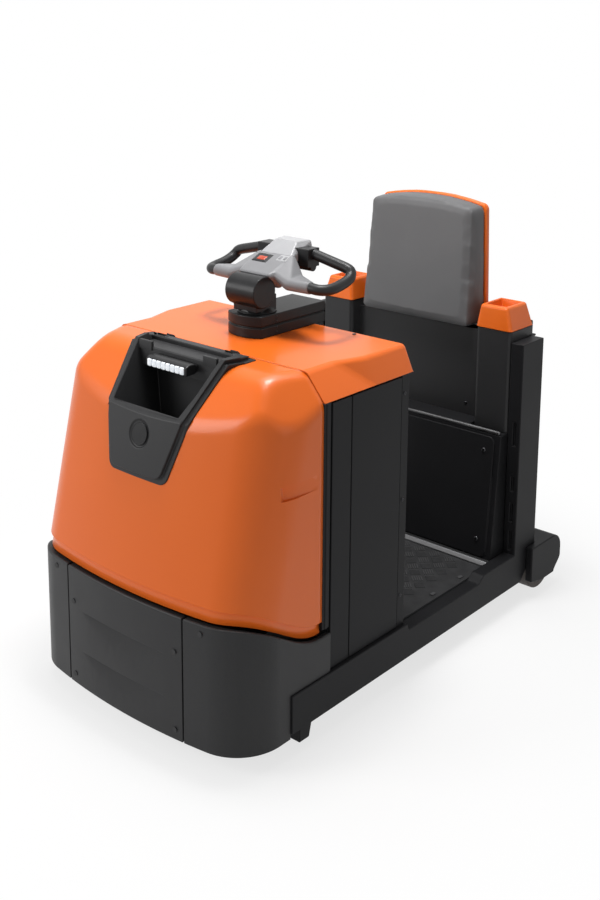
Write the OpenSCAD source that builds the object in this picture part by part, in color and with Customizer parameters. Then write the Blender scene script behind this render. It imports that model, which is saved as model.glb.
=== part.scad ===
// Stand-in electric tow tractor with an open side entry.
// Millimetres. Front towards -Y, left side +X, up +Z, floor at Z = 0.

/* [Chassis] */
// Width over the two side plates
chassis_width = 774; // [750:2:800]
// Thickness of each side plate
plate_thickness = 40; // [36:1:44]
// Height of the rail's upper edge
rail_top = 155; // [150:1:170]
// Depth of the rail
rail_depth = 97; // [85:1:105]
// How far the sill lies below the rail's upper edge
sill_drop = 18; // [10:1:22]
// Ground gap under the front feet
foot_gap = 25; // [18:1:32]
// Length of a front foot
foot_length = 35; // [28:1:42]
// Height of the rear posts
post_height = 790; // [760:5:800]
// Width of a rear post along the chassis
post_width = 113; // [105:1:116]
// Thickness of the floor plate
floor_thickness = 12; // [8:1:16]
// Thickness of the floor mat
mat_thickness = 6; // [4:0.5:8]

/* [Bays along the chassis] */
// Bumper front to hood seam
drive_bay = 300; // [295:1:310]
// Hood seam to the operator's side of the bulkhead
battery_bay = 332; // [320:1:360]
// Bulkhead to the foot of the rear panel
step_bay = 432; // [415:1:480]
// Foot of the rear panel to the rear wall's back face
rear_bay = 211; // [205:1:225]
// Rear wall to the tow jaw's tip
jaw_reach = 165; // [160:1:180]

/* [Hood and covers] */
// Height of the flat top cover
top_height = 895; // [870:1:920]
// Depth of the top cover
cover_depth = 67; // [60:1:75]
// How far hood and covers stand in from the side plates
cover_margin = 10; // [8:1:12]
// How far the top stands in from the side next to the hood
top_inset = 58; // [50:1:64]
// How far the top stands in from the side next to the driver
top_inset_rear = 30; // [24:1:36]
// Radius of the hood's and bumper's upright corners
corner_radius = 130; // [110:1:150]
// Plan radius of the bowed front
bow_radius = 1750; // [1500:10:2200]
// Wall thickness of hood and covers
cover_wall = 4; // [3:0.5:5]
// Drop of the hood's slope from the top to its crease
slope_drop = 126; // [118:1:132]
// Length of the hood's slope
slope_run = 151; // [140:1:160]
// Backward lean of the hood's front, degrees
hood_lean = 13; // [11:0.5:13.5]
// Height of the set-back lip round the hood's lower edge
lip_height = 30; // [22:1:36]
// Depth of the set-back lip
lip_depth = 8; // [5:0.5:10]

/* [Bumper] */
// Height of the bumper across the front
bumper_top = 356; // [345:1:366]
// Bumper wall thickness
bumper_wall = 16; // [12:1:20]
// Ground gap under the bumper
bumper_gap = 45; // [35:1:55]
// Width of the bumper's middle panel
bumper_middle = 410; // [380:2:440]
// Width of the joints between bumper panels
bumper_joint = 4; // [2:0.5:6]
// How far the bumper's upper edge drops along the side
sweep_drop = 101; // [85:1:110]
// Depth of the two scoops in the middle panel
scoop_depth = 10; // [6:0.5:12]

/* [Storage tray] */
// Half width of the tray's rear corners
tray_rear_half = 178; // [170:1:184]
// Half width of the tray at its lower edge
tray_low_half = 104; // [96:1:110]
// Drop of the tray's lower edge below the hood's crease
tray_drop = 143; // [135:1:150]
// Wall thickness of the pocket
tray_wall = 6; // [4:0.5:8]
// How far the tray's face stands proud of the hood
tray_proud = 12; // [9:0.5:14]
// Diameter of the blank disc
disc_diameter = 56; // [48:1:62]
// Width of the lamp bar
lamp_width = 140; // [120:2:150]

/* [Operator's place] */
// Height of the ledge on the rear panel
ledge_height = 530; // [515:1:545]
// How far the rear panel leans back at the ledge
panel_set_back = 66; // [55:1:72]
// How far the seam between columns and cap bins stands above the posts
seam_rise = 29; // [22:1:36]
// Height of the cap bins
bin_height = 68; // [60:1:76]
// Wall thickness of the cap bins' rim
bin_wall = 13; // [10:0.5:15]
// Width of a column
column_width = 115; // [110:1:118]
// Backrest width at its lower edge
rest_width = 392; // [380:2:400]
// Height of the backrest cushion
rest_height = 373; // [355:1:390]
// Backrest thickness at its lower edge
rest_thickness = 96; // [86:1:104]
// How far the cushion's front leans back at its top
rest_lean = 29; // [22:1:34]
// Thickness of the backrest shell
shell_thickness = 19; // [15:1:22]

/* [Rear wheels] */
// Diameter of a rear wheel
rear_wheel = 140; // [132:2:144]
// Width of a rear wheel
rear_wheel_width = 78; // [70:1:80]
// Diameter of the rear axle stubs
axle_diameter = 30; // [24:1:34]
// How far the wheel guards stand proud of the side plates
guard_proud = 22; // [18:1:26]
// Height of the wheel guards
guard_height = 160; // [158:1:168]
// Wall thickness of the wheel guards
guard_wall = 6; // [4:0.5:7]

/* [Drive unit] */
// Diameter of the drive wheel
drive_wheel = 230; // [220:2:240]
// Width of the drive wheel
drive_wheel_width = 75; // [70:1:80]
// Diameter of the drive axle
drive_axle = 36; // [30:1:42]
// Diameter of the steer bearing's spigot
steer_spigot = 110; // [100:2:120]
// Diameter of the drive motor
motor_diameter = 140; // [130:2:146]
// Gap between the drive motor and the storage pocket above it
motor_clearance = 80; // [60:5:100]

/* [Steering handle] */
// Width of the console block
console_width = 118; // [110:1:124]
// Height of the console block
console_height = 57; // [50:1:62]
// Diameter of the handle's drum
drum_diameter = 82; // [76:1:88]
// Length of the drum across the machine
drum_length = 100; // [92:1:106]
// Diameter of the loop tubes
loop_tube = 28; // [24:1:29]
// Half span over the wing ends of the head
wing_half = 164; // [156:1:170]
// Half span over the loops' centre lines
loop_half = 206; // [200:1:214]
// Diameter of the handle's upright shaft
handle_shaft = 30; // [24:1:36]

/* [Tow coupling] */
// Width of the coupling plate
coupling_width = 190; // [180:2:220]
// Height of the pin hole above the floor
tow_height = 275; // [260:1:300]
// Height of the jaw's mouth
jaw_mouth = 60; // [50:1:70]
// Thickness of each jaw lip
jaw_lip = 22; // [18:1:26]
// Diameter of the tow pin
pin_diameter = 25; // [20:1:28]
// Diameter of the free bolt holes
bolt_hole = 13; // [11:0.5:14]

/* [Fits] */
// Radial clearance of turning and sliding fits
run_gap = 0.05; // [0.03:0.01:0.09]
// Gap between moulded pieces that sit face to face round a curve
curve_gap = 0.3; // [0.3:0.1:0.6]
// Free space round moving pieces
move_gap = 6; // [5:0.5:8]
// Visible joint between neighbouring panels
panel_gap = 3; // [2:0.5:4]

/* [Output] */
// Piece to draw, or all

/* [Hidden] */
$fn = 96;

// Stations along the machine
total_length = drive_bay + battery_bay + step_bay + rear_bay + jaw_reach;
y_front = -total_length / 2;
y_hood = y_front + drive_bay;
y_bulk = y_hood + battery_bay;
y_panel = y_bulk + step_bay;
y_rear = y_panel + rear_bay;
y_end = y_rear + jaw_reach;
rail_start = 186;
y_rail = y_front + rail_start;
drive_setback = 200;
y_drive = y_front + drive_setback;
axle_setback = 41;
y_axle = y_rear + axle_setback;
wall_thickness = 8;
y_back = y_rear - wall_thickness;

// Half widths and heights
x_plate = chassis_width / 2;
x_inner = x_plate - plate_thickness;
x_cover = x_plate - cover_margin;
rail_bottom = rail_top - rail_depth;
sill_height = rail_top - sill_drop;
cover_seam = top_height - cover_depth;
crease_height = top_height - slope_drop;
bin_seam = post_height + seam_rise;
rest_low = bin_seam - 18;
rest_high = rest_low + rest_height;

// Overshoot of cutting shapes
cut = 1;
far = 600;

// Colours
orange = [0.88, 0.36, 0.10];
steel_black = [0.15, 0.15, 0.16];
plastic_dark = [0.24, 0.24, 0.25];
grey_light = [0.62, 0.62, 0.62];
grey_pale = [0.75, 0.75, 0.75];
metal = [0.55, 0.55, 0.57];
tan_tyre = [0.36, 0.23, 0.14];

// General shapes

// Box between two corners
module span(low, high) { translate(low) cube(high - low); }

// Both sides of the machine
module sides() { children(); mirror([1, 0, 0]) children(); }

// Plate whose outline is given in Y and Z, from x0 to x1
module side_profile(points, x0, x1) {
  translate([x0, 0, 0]) rotate([90, 0, 90]) linear_extrude(x1 - x0) polygon(points);
}

// Prism whose outline is given in X and Z, from y0 to y1
module front_profile(points, y0, y1) {
  translate([0, y1, 0]) rotate([90, 0, 0]) linear_extrude(y1 - y0) polygon(points);
}

// Round bar along X from x0 to x1
module bar_x(x0, x1, y, z, d) { translate([x0, y, z]) rotate([0, 90, 0]) cylinder(d = d, h = x1 - x0); }

// Rectangle with round corners
module round_square(low, high, r) {
  translate([low.x + r, low.y]) square([high.x - low.x - 2 * r, high.y - low.y]);
  translate([low.x, low.y + r]) square([high.x - low.x, high.y - low.y - 2 * r]);
  for (x = [low.x + r, high.x - r], y = [low.y + r, high.y - r]) translate([x, y]) circle(r = r);
}

// Points on an arc, angles in degrees
function arc(centre, r, a0, a1, steps = 8) =
  [for (i = [0 : steps]) let (a = a0 + (a1 - a0) * i / steps) centre + r * [cos(a), sin(a)]];

// Smooth step from 0 to 1
function ease(k) = k * k * (3 - 2 * k);

// Points on an S-curve between two points, level at both ends
function s_curve(a, b, steps = 8) =
  [for (i = [0 : steps]) let (k = i / steps) [a.x + (b.x - a.x) * k, a.y + (b.y - a.y) * ease(k)]];

// Mirror image of outline points in X, in reverse order
function mirrored(points) = [for (i = [len(points) - 1 : -1 : 0]) [-points[i].x, points[i].y]];

// Solid through rings of n points each, listed one ring after another
module loft(points, n) {
  last = len(points) / n - 1;
  skin = [for (i = [0 : last - 1], j = [0 : n - 1]) let (k = (j + 1) % n)
    [i * n + j, (i + 1) * n + j, (i + 1) * n + k, i * n + k]];
  polyhedron(points, concat(skin, [[for (j = [0 : n - 1]) j], [for (j = [n - 1 : -1 : 0]) last * n + j]]));
}

// Plan of the bowed front with round corners, taken in by t, back to y1
module front_plan(half, t, y1) {
  c = corner_radius;
  y_bow = y_front + bow_radius;
  y_corner = y_bow - sqrt(pow(bow_radius - c, 2) - pow(half - c, 2));
  k = bow_radius / (bow_radius - c);
  wedge = [(half - c) * k, y_bow + (y_corner - y_bow) * k];
  intersection() {
    translate([0, y_bow]) circle(r = bow_radius - t, $fn = 360);
    polygon([[0, y_bow], [-wedge.x, wedge.y], [-wedge.x, y_front - 2 * tray_proud],
      [wedge.x, y_front - 2 * tray_proud],
             wedge]);
  }
  for (s = [-1, 1]) translate([s * (half - c), y_corner]) circle(r = c - t);
  translate([-(half - t), y_corner]) square([2 * (half - t), y1 - y_corner]);
}

// Sweep of the bumper's upper edge along the side, raised by lift
sweep_start = 40;
sweep_run = 250;
function sweep_line(lift) = s_curve([y_front + sweep_start, bumper_top + lift],
  [y_front + sweep_start + sweep_run, bumper_top - sweep_drop + lift], 14);

// Steel chassis

// Outline of a side plate: foot, rail, sill and post
foot_set = 26;
foot_taper = 8;
tail_cut = 73;
tail_rise = 83;
ramp_end = 62;
ramp_length = 34;
sill_start = 10;
sill_rise = 6;
plate_outline = concat(
  [[y_rail, rail_bottom], [y_rail + foot_set, rail_bottom], [y_rail + foot_set, foot_gap],
   [y_rail + foot_set + foot_length, foot_gap], [y_rail + foot_set + foot_length + foot_taper, rail_bottom],
   [y_rear - tail_cut, rail_bottom], [y_rear, rail_bottom + tail_rise], [y_rear, post_height],
   [y_rear - post_width, post_height], [y_rear - post_width, rail_top]],
  s_curve([y_panel - ramp_end, rail_top], [y_panel - ramp_end - ramp_length, sill_height]),
  [[y_bulk + sill_start, sill_height], [y_bulk + sill_start - sill_rise, rail_top], [y_rail, rail_top]]);

// Slots in the front of each post: height above the rail, length
post_slots = [[13, 59], [99, 59], [194, 46], [331, 71]];
slot_width = 10;
slot_depth = 8;
slot_in = 22;
module side_plates() {
  y0 = y_rear - post_width;
  x0 = x_inner + slot_in - slot_width / 2;
  color(steel_black) sides() difference() {
    side_profile(plate_outline, x_inner, x_plate);
    for (s = post_slots)
      span([x0, y0 - cut, rail_top + s[0]], [x0 + slot_width, y0 + slot_depth, rail_top + s[0] + s[1]]);
  }
}

// U-shaped weldment that carries the drive unit and bumper
frame_top = 300;
frame_arm = 40;
frame_lift = 4;
frame_back = y_hood + 20;
web_front = y_front + 44;
web_thickness = 24;
module front_frame() {
  x = x_inner - frame_arm;
  color(steel_black) difference() {
    behind_bumper(rail_bottom + frame_lift, frame_top);
    span([-x, web_front + web_thickness, 0], [x, frame_back + cut, frame_top + cut]);
  }
}

// Block inside the bumper between two heights
module behind_bumper(z0, z1) {
  intersection() {
    span([-x_inner, web_front, z0], [x_inner, frame_back, z1]);
    linear_extrude(z1 + cut) front_plan(bumper_half, bumper_wall + move_gap, frame_back + cut);
  }
}

mount_plate = 20;
module drive_mount() {
  color(steel_black) difference() {
    behind_bumper(frame_top, frame_top + mount_plate);
    translate([0, y_drive, 0]) cylinder(d = steer_spigot + 2 * run_gap, h = frame_top + mount_plate + cut);
  }
}

// Floor with its mat and the bright strip at the foot of the rear panel
floor_front = y_hood + 40;
mat_edge = 8;
kick_width = 25;
kick_height = 14;
module floor_plate() {
  color(steel_black) span([-x_inner, floor_front, sill_height - floor_thickness],
    [x_inner, y_back, sill_height]);
}

module floor_mat() {
  color(plastic_dark) span([-x_inner + 2, y_bulk + mat_edge, sill_height],
    [x_inner - 2, y_panel - kick_width - 2, sill_height + mat_thickness]);
}

module kick_strip() {
  color(grey_light) difference() {
    span([-x_inner + 4, y_panel - kick_width, sill_height],
      [x_inner - 4, y_panel, sill_height + kick_height]);
    translate([0, y_panel - kick_width, sill_height + kick_height]) rotate([45, 0, 0])
      cube([2 * x_plate, kick_height, kick_height], center = true);
  }
}

// Battery bay

battery_front = y_hood + 32;
bay_plate = 8;
bulk_plate = 6;
bulk_flange = 30;
module battery() {
  color(metal) span([-x_cover + bay_plate, battery_front, rail_top],
    [x_cover - bay_plate, y_bulk - bulk_plate, cover_seam - bay_plate - 2]);
}

// Cross plate behind the hood with a ribbed strip at each side
strip_low = bumper_top - sweep_drop + bumper_wall;
strip_width = 12;
rib_width = 8;
rib_proud = 3;
module hood_frame() {
  x = x_cover - bay_plate;
  color(steel_black) {
    span([-x, battery_front - bay_plate, frame_top + mount_plate], [x, battery_front, cover_seam]);
    sides() {
      span([x_cover + 1 - strip_width, y_hood, strip_low],
        [x_cover + 1, battery_front - bay_plate + cut, cover_seam]);
      span([x_cover, y_hood + rib_width, strip_low], [x_cover + rib_proud, y_hood + 2 * rib_width,
        cover_seam]);
    }
  }
}

module bulkhead() {
  x = x_cover - 2;
  color(steel_black) {
    span([-x, y_bulk - bulk_plate, rail_top], [x, y_bulk, cover_seam]);
    sides() span([x - bulk_plate, y_bulk - bulk_flange, rail_top],
      [x, y_bulk - bulk_plate + cut, cover_seam]);
  }
}

// Screwed-on panels beside the battery
narrow_panel = 70;
cover_foot = 2;
cover_head = 4;
module side_covers() {
  split = battery_front + narrow_panel;
  color(steel_black) sides() {
    span([x_cover - bay_plate, battery_front, rail_top + cover_foot],
      [x_cover, split, cover_seam - cover_head]);
    span([x_cover - bay_plate, split + panel_gap, rail_top + cover_foot],
      [x_cover, y_bulk - bulk_flange - panel_gap, cover_seam - cover_head]);
  }
}

// Top cover, whose side changes from the hood's shoulder to a steeper edge
cover_overhang = 20;
cover_front = y_hood + panel_gap + 1;
cover_rear = y_bulk + cover_overhang;
// Stations of the change: distance behind the cover's front, inset of the top edge
cover_steps = [[0, top_inset], [95, top_inset], [185, top_inset_rear],
  [cover_rear - cover_front, top_inset_rear]];

// Section of the top cover in X and Z with its top edge taken in, and its walls taken in by t
function cover_section(inset, t) = [[-x_cover + inset + t, top_height - t],
  [x_cover - inset - t, top_height - t],
  [x_cover - t, cover_seam - t], [-x_cover + t, cover_seam - t]];

module top_cover() {
  color(orange) difference() {
    loft([for (s = cover_steps, p = cover_section(s[1], 0)) [p.x, cover_front + s[0], p.y]], 4);
    front_profile(cover_section(top_inset, cover_wall), cover_front + cover_wall, cover_rear - cover_wall);
  }
}

// Hood, tray and bumper

// Side outline of the hood, taken in by t, its lower edge raised by lift and its rear edge moved by back
slope_flat = 52;
slope_end = y_hood - slope_flat;
slope = slope_drop / slope_run;
nose = 40;
function slope_z(y, t) = top_height - (slope_end - y) * slope - t * sqrt(1 + slope * slope);
function hood_outline(t, lift, back) = concat(
  [[y_front - nose, bumper_top + lift]],
  [for (p = sweep_line(lift)) if (p.x < y_hood) p],
  [[y_hood + back, bumper_top - sweep_drop + lift], [y_hood + back, top_height - t],
   [slope_end + t * (sqrt(1 + slope * slope) - 1) / slope, top_height - t], [y_front - nose,
     slope_z(y_front - nose, t)]]);

// Frame of the leaning front: origin at the foot of the hood, Z up along the lean
rim_gap = 7;
rim_set = 2;
module lean_space() {
  translate([0, y_front + rim_set, bumper_top + rim_gap]) rotate([-hood_lean, 0, 0]) children();
}

// Half space that cuts the hood's shoulder, through the cover's edge and a point on the round corner
corner_in = 29;
corner_ahead = 130;
corner_fall = 24;
shoulder_normal = [cover_depth * corner_ahead, -cover_depth * corner_in - top_inset * corner_fall,
  top_inset * corner_ahead];
shoulder_tilt = atan2(norm([shoulder_normal.x, shoulder_normal.y]), shoulder_normal.z);
shoulder_turn = atan2(-shoulder_normal.y, shoulder_normal.x);
module shoulder(t) {
  translate([x_cover - top_inset, y_hood, top_height]) rotate([0, shoulder_tilt, -shoulder_turn])
    translate([-far, -far, -t]) cube([2 * far, 2 * far, far]);
}

// Hood as a solid: bowed leaning prism under its side outline, less the shoulders
prism_low = 200;
module hood_solid(t, lift, back) {
  difference() {
    intersection() {
      lean_space() translate([0, -y_front, -prism_low]) linear_extrude(2 * far)
        front_plan(x_cover, t, y_front + far);
      side_profile(hood_outline(t, lift, back), -x_plate, x_plate);
    }
    sides() shoulder(t);
  }
}

// Outline of the tray in X and Z, taken in by g, and the half width of its splayed sides at a height
tray_back = y_hood - 12;
tray_low = crease_height - tray_drop;
tray_round = 26;
tray_splay = (tray_rear_half - tray_low_half) / (top_height - tray_low);
function tray_half(z) = tray_low_half + (z - tray_low) * tray_splay;
function tray_outline(g) = let (half = concat(
    arc([tray_low_half - g - tray_round, tray_low + g + tray_round], tray_round, -90, -atan(tray_splay)),
    [[tray_half(top_height + nose) - g, top_height + nose]]))
  concat(half, mirrored(half));
module tray_space(g) {
  front_profile(tray_outline(g), y_front - nose, tray_back - g);
}

// Grip recess in each side of the hood and a notch at its lower rear corner
grip_length = 110;
grip_height = 33;
grip_depth = 6;
grip_ahead = 18;
grip_low = crease_height - 138;
notch_size = 14;
module hood() {
  color(orange) difference() {
    union() {
      hood_solid(0, rim_gap + lip_height, 0);
      hood_solid(lip_depth, rim_gap, 0);
    }
    hood_solid(lip_depth + cover_wall, rim_gap - lip_height, cut);
    tray_space(0);
    sides() {
      span([x_cover - grip_depth, y_hood - grip_ahead - grip_length, grip_low],
        [x_plate, y_hood - grip_ahead, grip_low + grip_height]);
      span([x_cover - 2 * notch_size, y_hood - notch_size, 0],
        [x_plate, y_hood + cut, bumper_top - sweep_drop + rim_gap + lip_height]);
    }
  }
}

// Side outlines of the tray's body and of its pocket
pocket_low = tray_low + 35;
pocket_front = y_front + 100;
apron_back = y_front + 78;
apron_foot = 14;
ledge_width = 36;
back_run = 60;
tray_body = [[y_front - nose, tray_low - cut], [apron_back, tray_low - cut],
  [apron_back + apron_foot, pocket_low - tray_wall], [tray_back - back_run, pocket_low - tray_wall],
  [tray_back, top_height - nose], [tray_back, top_height + nose], [y_front - nose, top_height + nose]];
pocket_side = [[pocket_front, pocket_low], [tray_back - back_run - tray_wall, pocket_low],
  [tray_back - ledge_width, top_height - back_run], [tray_back - ledge_width, top_height + nose],
  [pocket_front, top_height + nose]];
pocket_in = 31;
pocket_plan = let (half = [for (z = [pocket_low - cut, top_height + nose]) [tray_half(z) - pocket_in, z]])
  concat(half, mirrored(half));

// Tabs on the tray's rear ledge: distance from the middle, distance ahead of the tray's rear edge
tabs = [[118, 33], [112, 9]];
tab_width = 30;
tab_thickness = 6;
tab_rise = 14;
tray_step = 3;
tray_flank = 13;
disc_rim = 8;
module tray() {
  color(plastic_dark) {
    difference() {
      union() {
        tray_layer(tray_step, 0);
        tray_layer(tray_proud, tray_flank);
      }
      intersection() {
        side_profile(pocket_side, -x_plate, x_plate);
        front_profile(pocket_plan, y_front - nose, tray_back);
      }
      disc_space() cylinder(d1 = disc_diameter + disc_rim, d2 = disc_diameter + 2 * disc_rim,
        h = 2 * disc_recess);
    }
    sides() for (t = tabs) translate([t[0], tray_back - t[1], top_height])
      span([-tab_width / 2, 0, -tab_thickness], [tab_width / 2, tab_thickness, tab_rise]);
  }
}

// Layer of the tray that stands proud of the hood, its outline taken in by g
module tray_layer(proud, g) {
  intersection() {
    hood_solid(-proud, rim_gap, 0);
    tray_space(g);
    side_profile(tray_body, -x_plate, x_plate);
  }
}

// Blank disc on the tray's leaning apron
disc_recess = 3;
disc_drop = 43;
disc_up = (crease_height - disc_drop - bumper_top - rim_gap) / cos(hood_lean);
disc_proud = 1;
module disc_space() {
  lean_space() translate([0, disc_recess - tray_proud, disc_up]) rotate([90, 0, 0]) children();
}
module badge_disc() {
  color(metal) disc_space() cylinder(d = disc_diameter, h = disc_recess + disc_proud);
}

// Lamp bar on its bracket over the pocket
lamp_z = top_height - 36;
lamp_y = tray_back - 90;
lamp_depth = 38;
lamp_height = 26;
lamp_chamfer = 10;
bracket_half = 14;
bracket_height = 16;
lamp_outline = let (z0 = lamp_z - lamp_height / 2, z1 = lamp_z + lamp_height / 2, y1 = lamp_y + lamp_depth)
  [[lamp_y, z0], [y1 - lamp_chamfer, z0], [y1, z0 + lamp_chamfer / 2], [y1, z1 - lamp_chamfer / 2],
   [y1 - lamp_chamfer, z1], [lamp_y + lamp_chamfer, z1], [lamp_y, z1 - lamp_chamfer / 2]];
module lamp() {
  color(plastic_dark) side_profile(lamp_outline, -lamp_width / 2, lamp_width / 2);
}

module lamp_bracket() {
  color(plastic_dark) span([-bracket_half, lamp_y + lamp_depth, lamp_z - bracket_height / 2],
    [bracket_half, tray_back - ledge_width, lamp_z + bracket_height / 2]);
}

// Bumper ring between two heights, cut to the sweep of its upper edge
bumper_half = chassis_width / 2 - 5;
bumper_end = y_hood + 28;
module bumper_ring() {
  intersection() {
    difference() {
      linear_extrude(bumper_top + cut) front_plan(bumper_half, 0, bumper_end);
      translate([0, 0, -cut]) linear_extrude(bumper_top + 3 * cut)
        front_plan(bumper_half, bumper_wall, bumper_end + cut);
    }
    side_profile(concat([[y_front - nose, bumper_gap], [y_front - nose, bumper_top]], sweep_line(0),
      [[bumper_end, bumper_top - sweep_drop], [bumper_end, rail_top], [y_rail, rail_top],
        [y_rail, bumper_gap]]),
      -x_plate, x_plate);
  }
}

// Scoop with a straight upper edge that runs out below
scoop_radius = 3500;
scoop_tilt = 12.5;
scoop_height = 60;
scoop_rows = [98, 206];
module scoop(z) {
  translate([0, y_front + scoop_depth, z]) rotate([-scoop_tilt, 0, 0])
    translate([0, -scoop_radius, -scoop_height])
    cylinder(r = scoop_radius, h = scoop_height, $fn = 720);
}

// Screw heads and rear bosses of the bumper panels
screw_head = 13;
screw_proud = 2;
screw_in = 22;
screw_low = 26;
screw_high = 222;
side_screw = 50;
boss_diameter = 30;
boss_in = 40;
boss_rows = [65, 205];
function bow_y(x) = y_front + bow_radius - sqrt(bow_radius * bow_radius - x * x);
module bumper_screw(x, z) {
  translate([x, bow_y(x) - screw_proud, z]) rotate([-90, 0, 0])
    cylinder(d = screw_head, h = bumper_wall / 2, $fn = 32);
}
module bumper_boss(x, z) {
  y0 = bow_y(x) + bumper_wall / 2;
  translate([x, y0, z]) rotate([-90, 0, 0]) cylinder(d = boss_diameter, h = web_front - y0);
}

module bumper_centre() {
  m = (bumper_middle - bumper_joint) / 2;
  color(plastic_dark) {
    difference() {
      intersection() {
        bumper_ring();
        span([-m, y_front - nose, 0], [m, web_front, far]);
      }
      for (z = scoop_rows) scoop(bumper_gap + z);
    }
    for (s = [-1, 1], z = boss_rows) bumper_boss(s * (m - boss_in), bumper_gap + z);
    for (s = [-1, 1], z = [screw_low, screw_high]) bumper_screw(s * (m - screw_in), bumper_gap + z);
  }
}

module bumper_sides() {
  m = (bumper_middle + bumper_joint) / 2;
  color(plastic_dark) sides() {
    intersection() {
      bumper_ring();
      span([m, y_front - nose, 0], [x_plate, bumper_end, far]);
    }
    for (z = boss_rows) bumper_boss(m + boss_in, bumper_gap + z);
    bumper_screw(m + side_screw, bumper_top - screw_in);
  }
}

// Operator's place

// Wall between the posts, notched beside the rear wheels, with a flange along its top
wall_low = 60;
notch_top = 150;
wall_flange = 24;
flange_depth = 6;
module rear_wall() {
  half = [[x_frame, wall_low], [x_frame, notch_top], [x_inner, notch_top], [x_inner, post_height]];
  color(steel_black) {
    front_profile(concat(half, mirrored(half)), y_back, y_rear);
    span([-x_inner, y_rear - cut, post_height - flange_depth],
      [x_inner, y_rear + wall_flange, post_height]);
  }
}

// Folded box below the ledge with a leaning front, a screwed-on front plate and seats for the columns
panel_half = x_inner - 2;
panel_sheet = 6;
panel_fold = 10;
panel_top = y_panel + panel_set_back;
panel_lean = atan(panel_set_back / (ledge_height - sill_height));
column_low = ledge_height - 11;
column_in = panel_half - column_width;
function lean_y(z) = y_panel + (z - sill_height) * tan(panel_lean);
panel_outline = concat([[y_panel, sill_height], [y_back, sill_height], [y_back, ledge_height]],
  arc([panel_top + panel_fold, ledge_height - panel_fold], panel_fold, 90, 180 - panel_lean));
panel_hollow = [[y_panel + panel_sheet, sill_height - cut], [y_back + cut, sill_height - cut],
  [y_back + cut, ledge_height - 2 * panel_sheet],
  [panel_top + panel_sheet, ledge_height - 2 * panel_sheet]];
plate_margin = 18;
plate_proud = 4;
plate_round = 20;
module rear_panel() {
  z0 = sill_height + plate_margin;
  z1 = ledge_height - plate_margin;
  x1 = panel_half - plate_margin;
  color(steel_black) difference() {
    union() {
      side_profile(panel_outline, -panel_half, panel_half);
      intersection() {
        side_profile([[lean_y(z0) - plate_proud, z0], [lean_y(z0) + cut, z0], [lean_y(z1) + cut, z1],
          [lean_y(z1) - plate_proud, z1]], -x1, x1);
        translate([0, y_rear, 0]) rotate([90, 0, 0]) linear_extrude(far)
          round_square([-x1, z0], [x1, z1], plate_round);
      }
    }
    side_profile(panel_hollow, -panel_half + panel_sheet, panel_half - panel_sheet);
    sides() span([column_in, y_panel, column_low], [panel_half + cut, y_rear, ledge_height + cut]);
  }
}

upper_set = 73;
module upper_panel() {
  y0 = y_rear - upper_set;
  color(steel_black) span([-column_in, y0, ledge_height], [column_in, y0 + panel_sheet, rest_low - 4]);
}

// Columns with round corners that reach over the wall and stand up behind the cap bins
column_depth = 115;
column_y = y_rear - column_depth;
column_round = 12;
over_wall = 15;
upstand = 13;
upstand_depth = 6;
column_side = [[column_y - cut, column_low], [y_back, column_low], [y_back, post_height + cut],
  [y_rear + over_wall, post_height + cut], [y_rear + over_wall, bin_seam + upstand],
  [y_rear + over_wall - upstand_depth, bin_seam + upstand], [y_rear + over_wall - upstand_depth, bin_seam],
  [column_y - cut, bin_seam]];
module columns() {
  color(plastic_dark) sides() intersection() {
    translate([0, 0, column_low]) linear_extrude(far)
      round_square([column_in, column_y], [panel_half, y_rear + over_wall], column_round);
    side_profile(column_side, 0, x_plate);
  }
}

// Tapered cap bins with a rounded rim, a pocket and a lower tongue towards the backrest
bin_flange = 2;
bin_round = 11;
bin_floor = 14;
// Taper of the four sides: inner, front, outer, rear
bin_taper = [8, 6, 17, 8];
tongue_gap = 2;
tongue_depth = 24;
tongue_height = 46;
module cap_bins() {
  lo = [column_in - bin_flange, column_y - bin_flange];
  hi = [panel_half + bin_flange, y_rear + over_wall - upstand_depth - curve_gap];
  top_lo = lo + [bin_taper[0], bin_taper[1]];
  top_hi = hi - [bin_taper[2], bin_taper[3]];
  rim = [bin_wall, bin_wall];
  color(orange) sides() difference() {
    union() {
      hull() {
        translate([0, 0, bin_seam]) linear_extrude(cut) round_square(lo, hi, bin_round);
        for (x = [top_lo.x + bin_round, top_hi.x - bin_round],
          y = [top_lo.y + bin_round, top_hi.y - bin_round])
          translate([x, y, bin_seam + bin_height - bin_round]) sphere(r = bin_round, $fn = 40);
      }
      span([rest_width / 2 + shell_lip + tongue_gap, hi.y - tongue_depth, bin_seam],
        [lo.x + bin_wall, hi.y, bin_seam + tongue_height]);
    }
    hull() {
      translate([0, 0, bin_seam + bin_floor]) linear_extrude(cut)
        round_square(top_lo + 2 * rim, top_hi - 2 * rim, 2);
      translate([0, 0, bin_seam + bin_height]) linear_extrude(cut)
        round_square(top_lo + rim, top_hi - rim, 4);
    }
  }
}

// Backrest: cushion with a crowned top and a leaning front, in a thin shell

rest_y = y_rear - 114;
rest_back = rest_y + rest_thickness;
rest_taper = 11;
rest_crown = 18;
rest_round = 20;
crown_steps = 6;
// Outline in X and Z, grown by g
function rest_outline(g) = let (w0 = rest_width / 2 + g, w1 = w0 - rest_taper, r = rest_round,
  z1 = rest_high + g,
    half = concat([[w0 - r / 2, rest_low - g], [w0, rest_low - g + r / 2]],
      arc([w1 - r, z1 - rest_crown - r], r, 0, 70, 6),
      [for (i = [1 : crown_steps]) let (k = 1 - i / (crown_steps + 1))
        [(w1 - r) * k, z1 - rest_crown * k * k]]))
  concat(half, mirrored(half));

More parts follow.
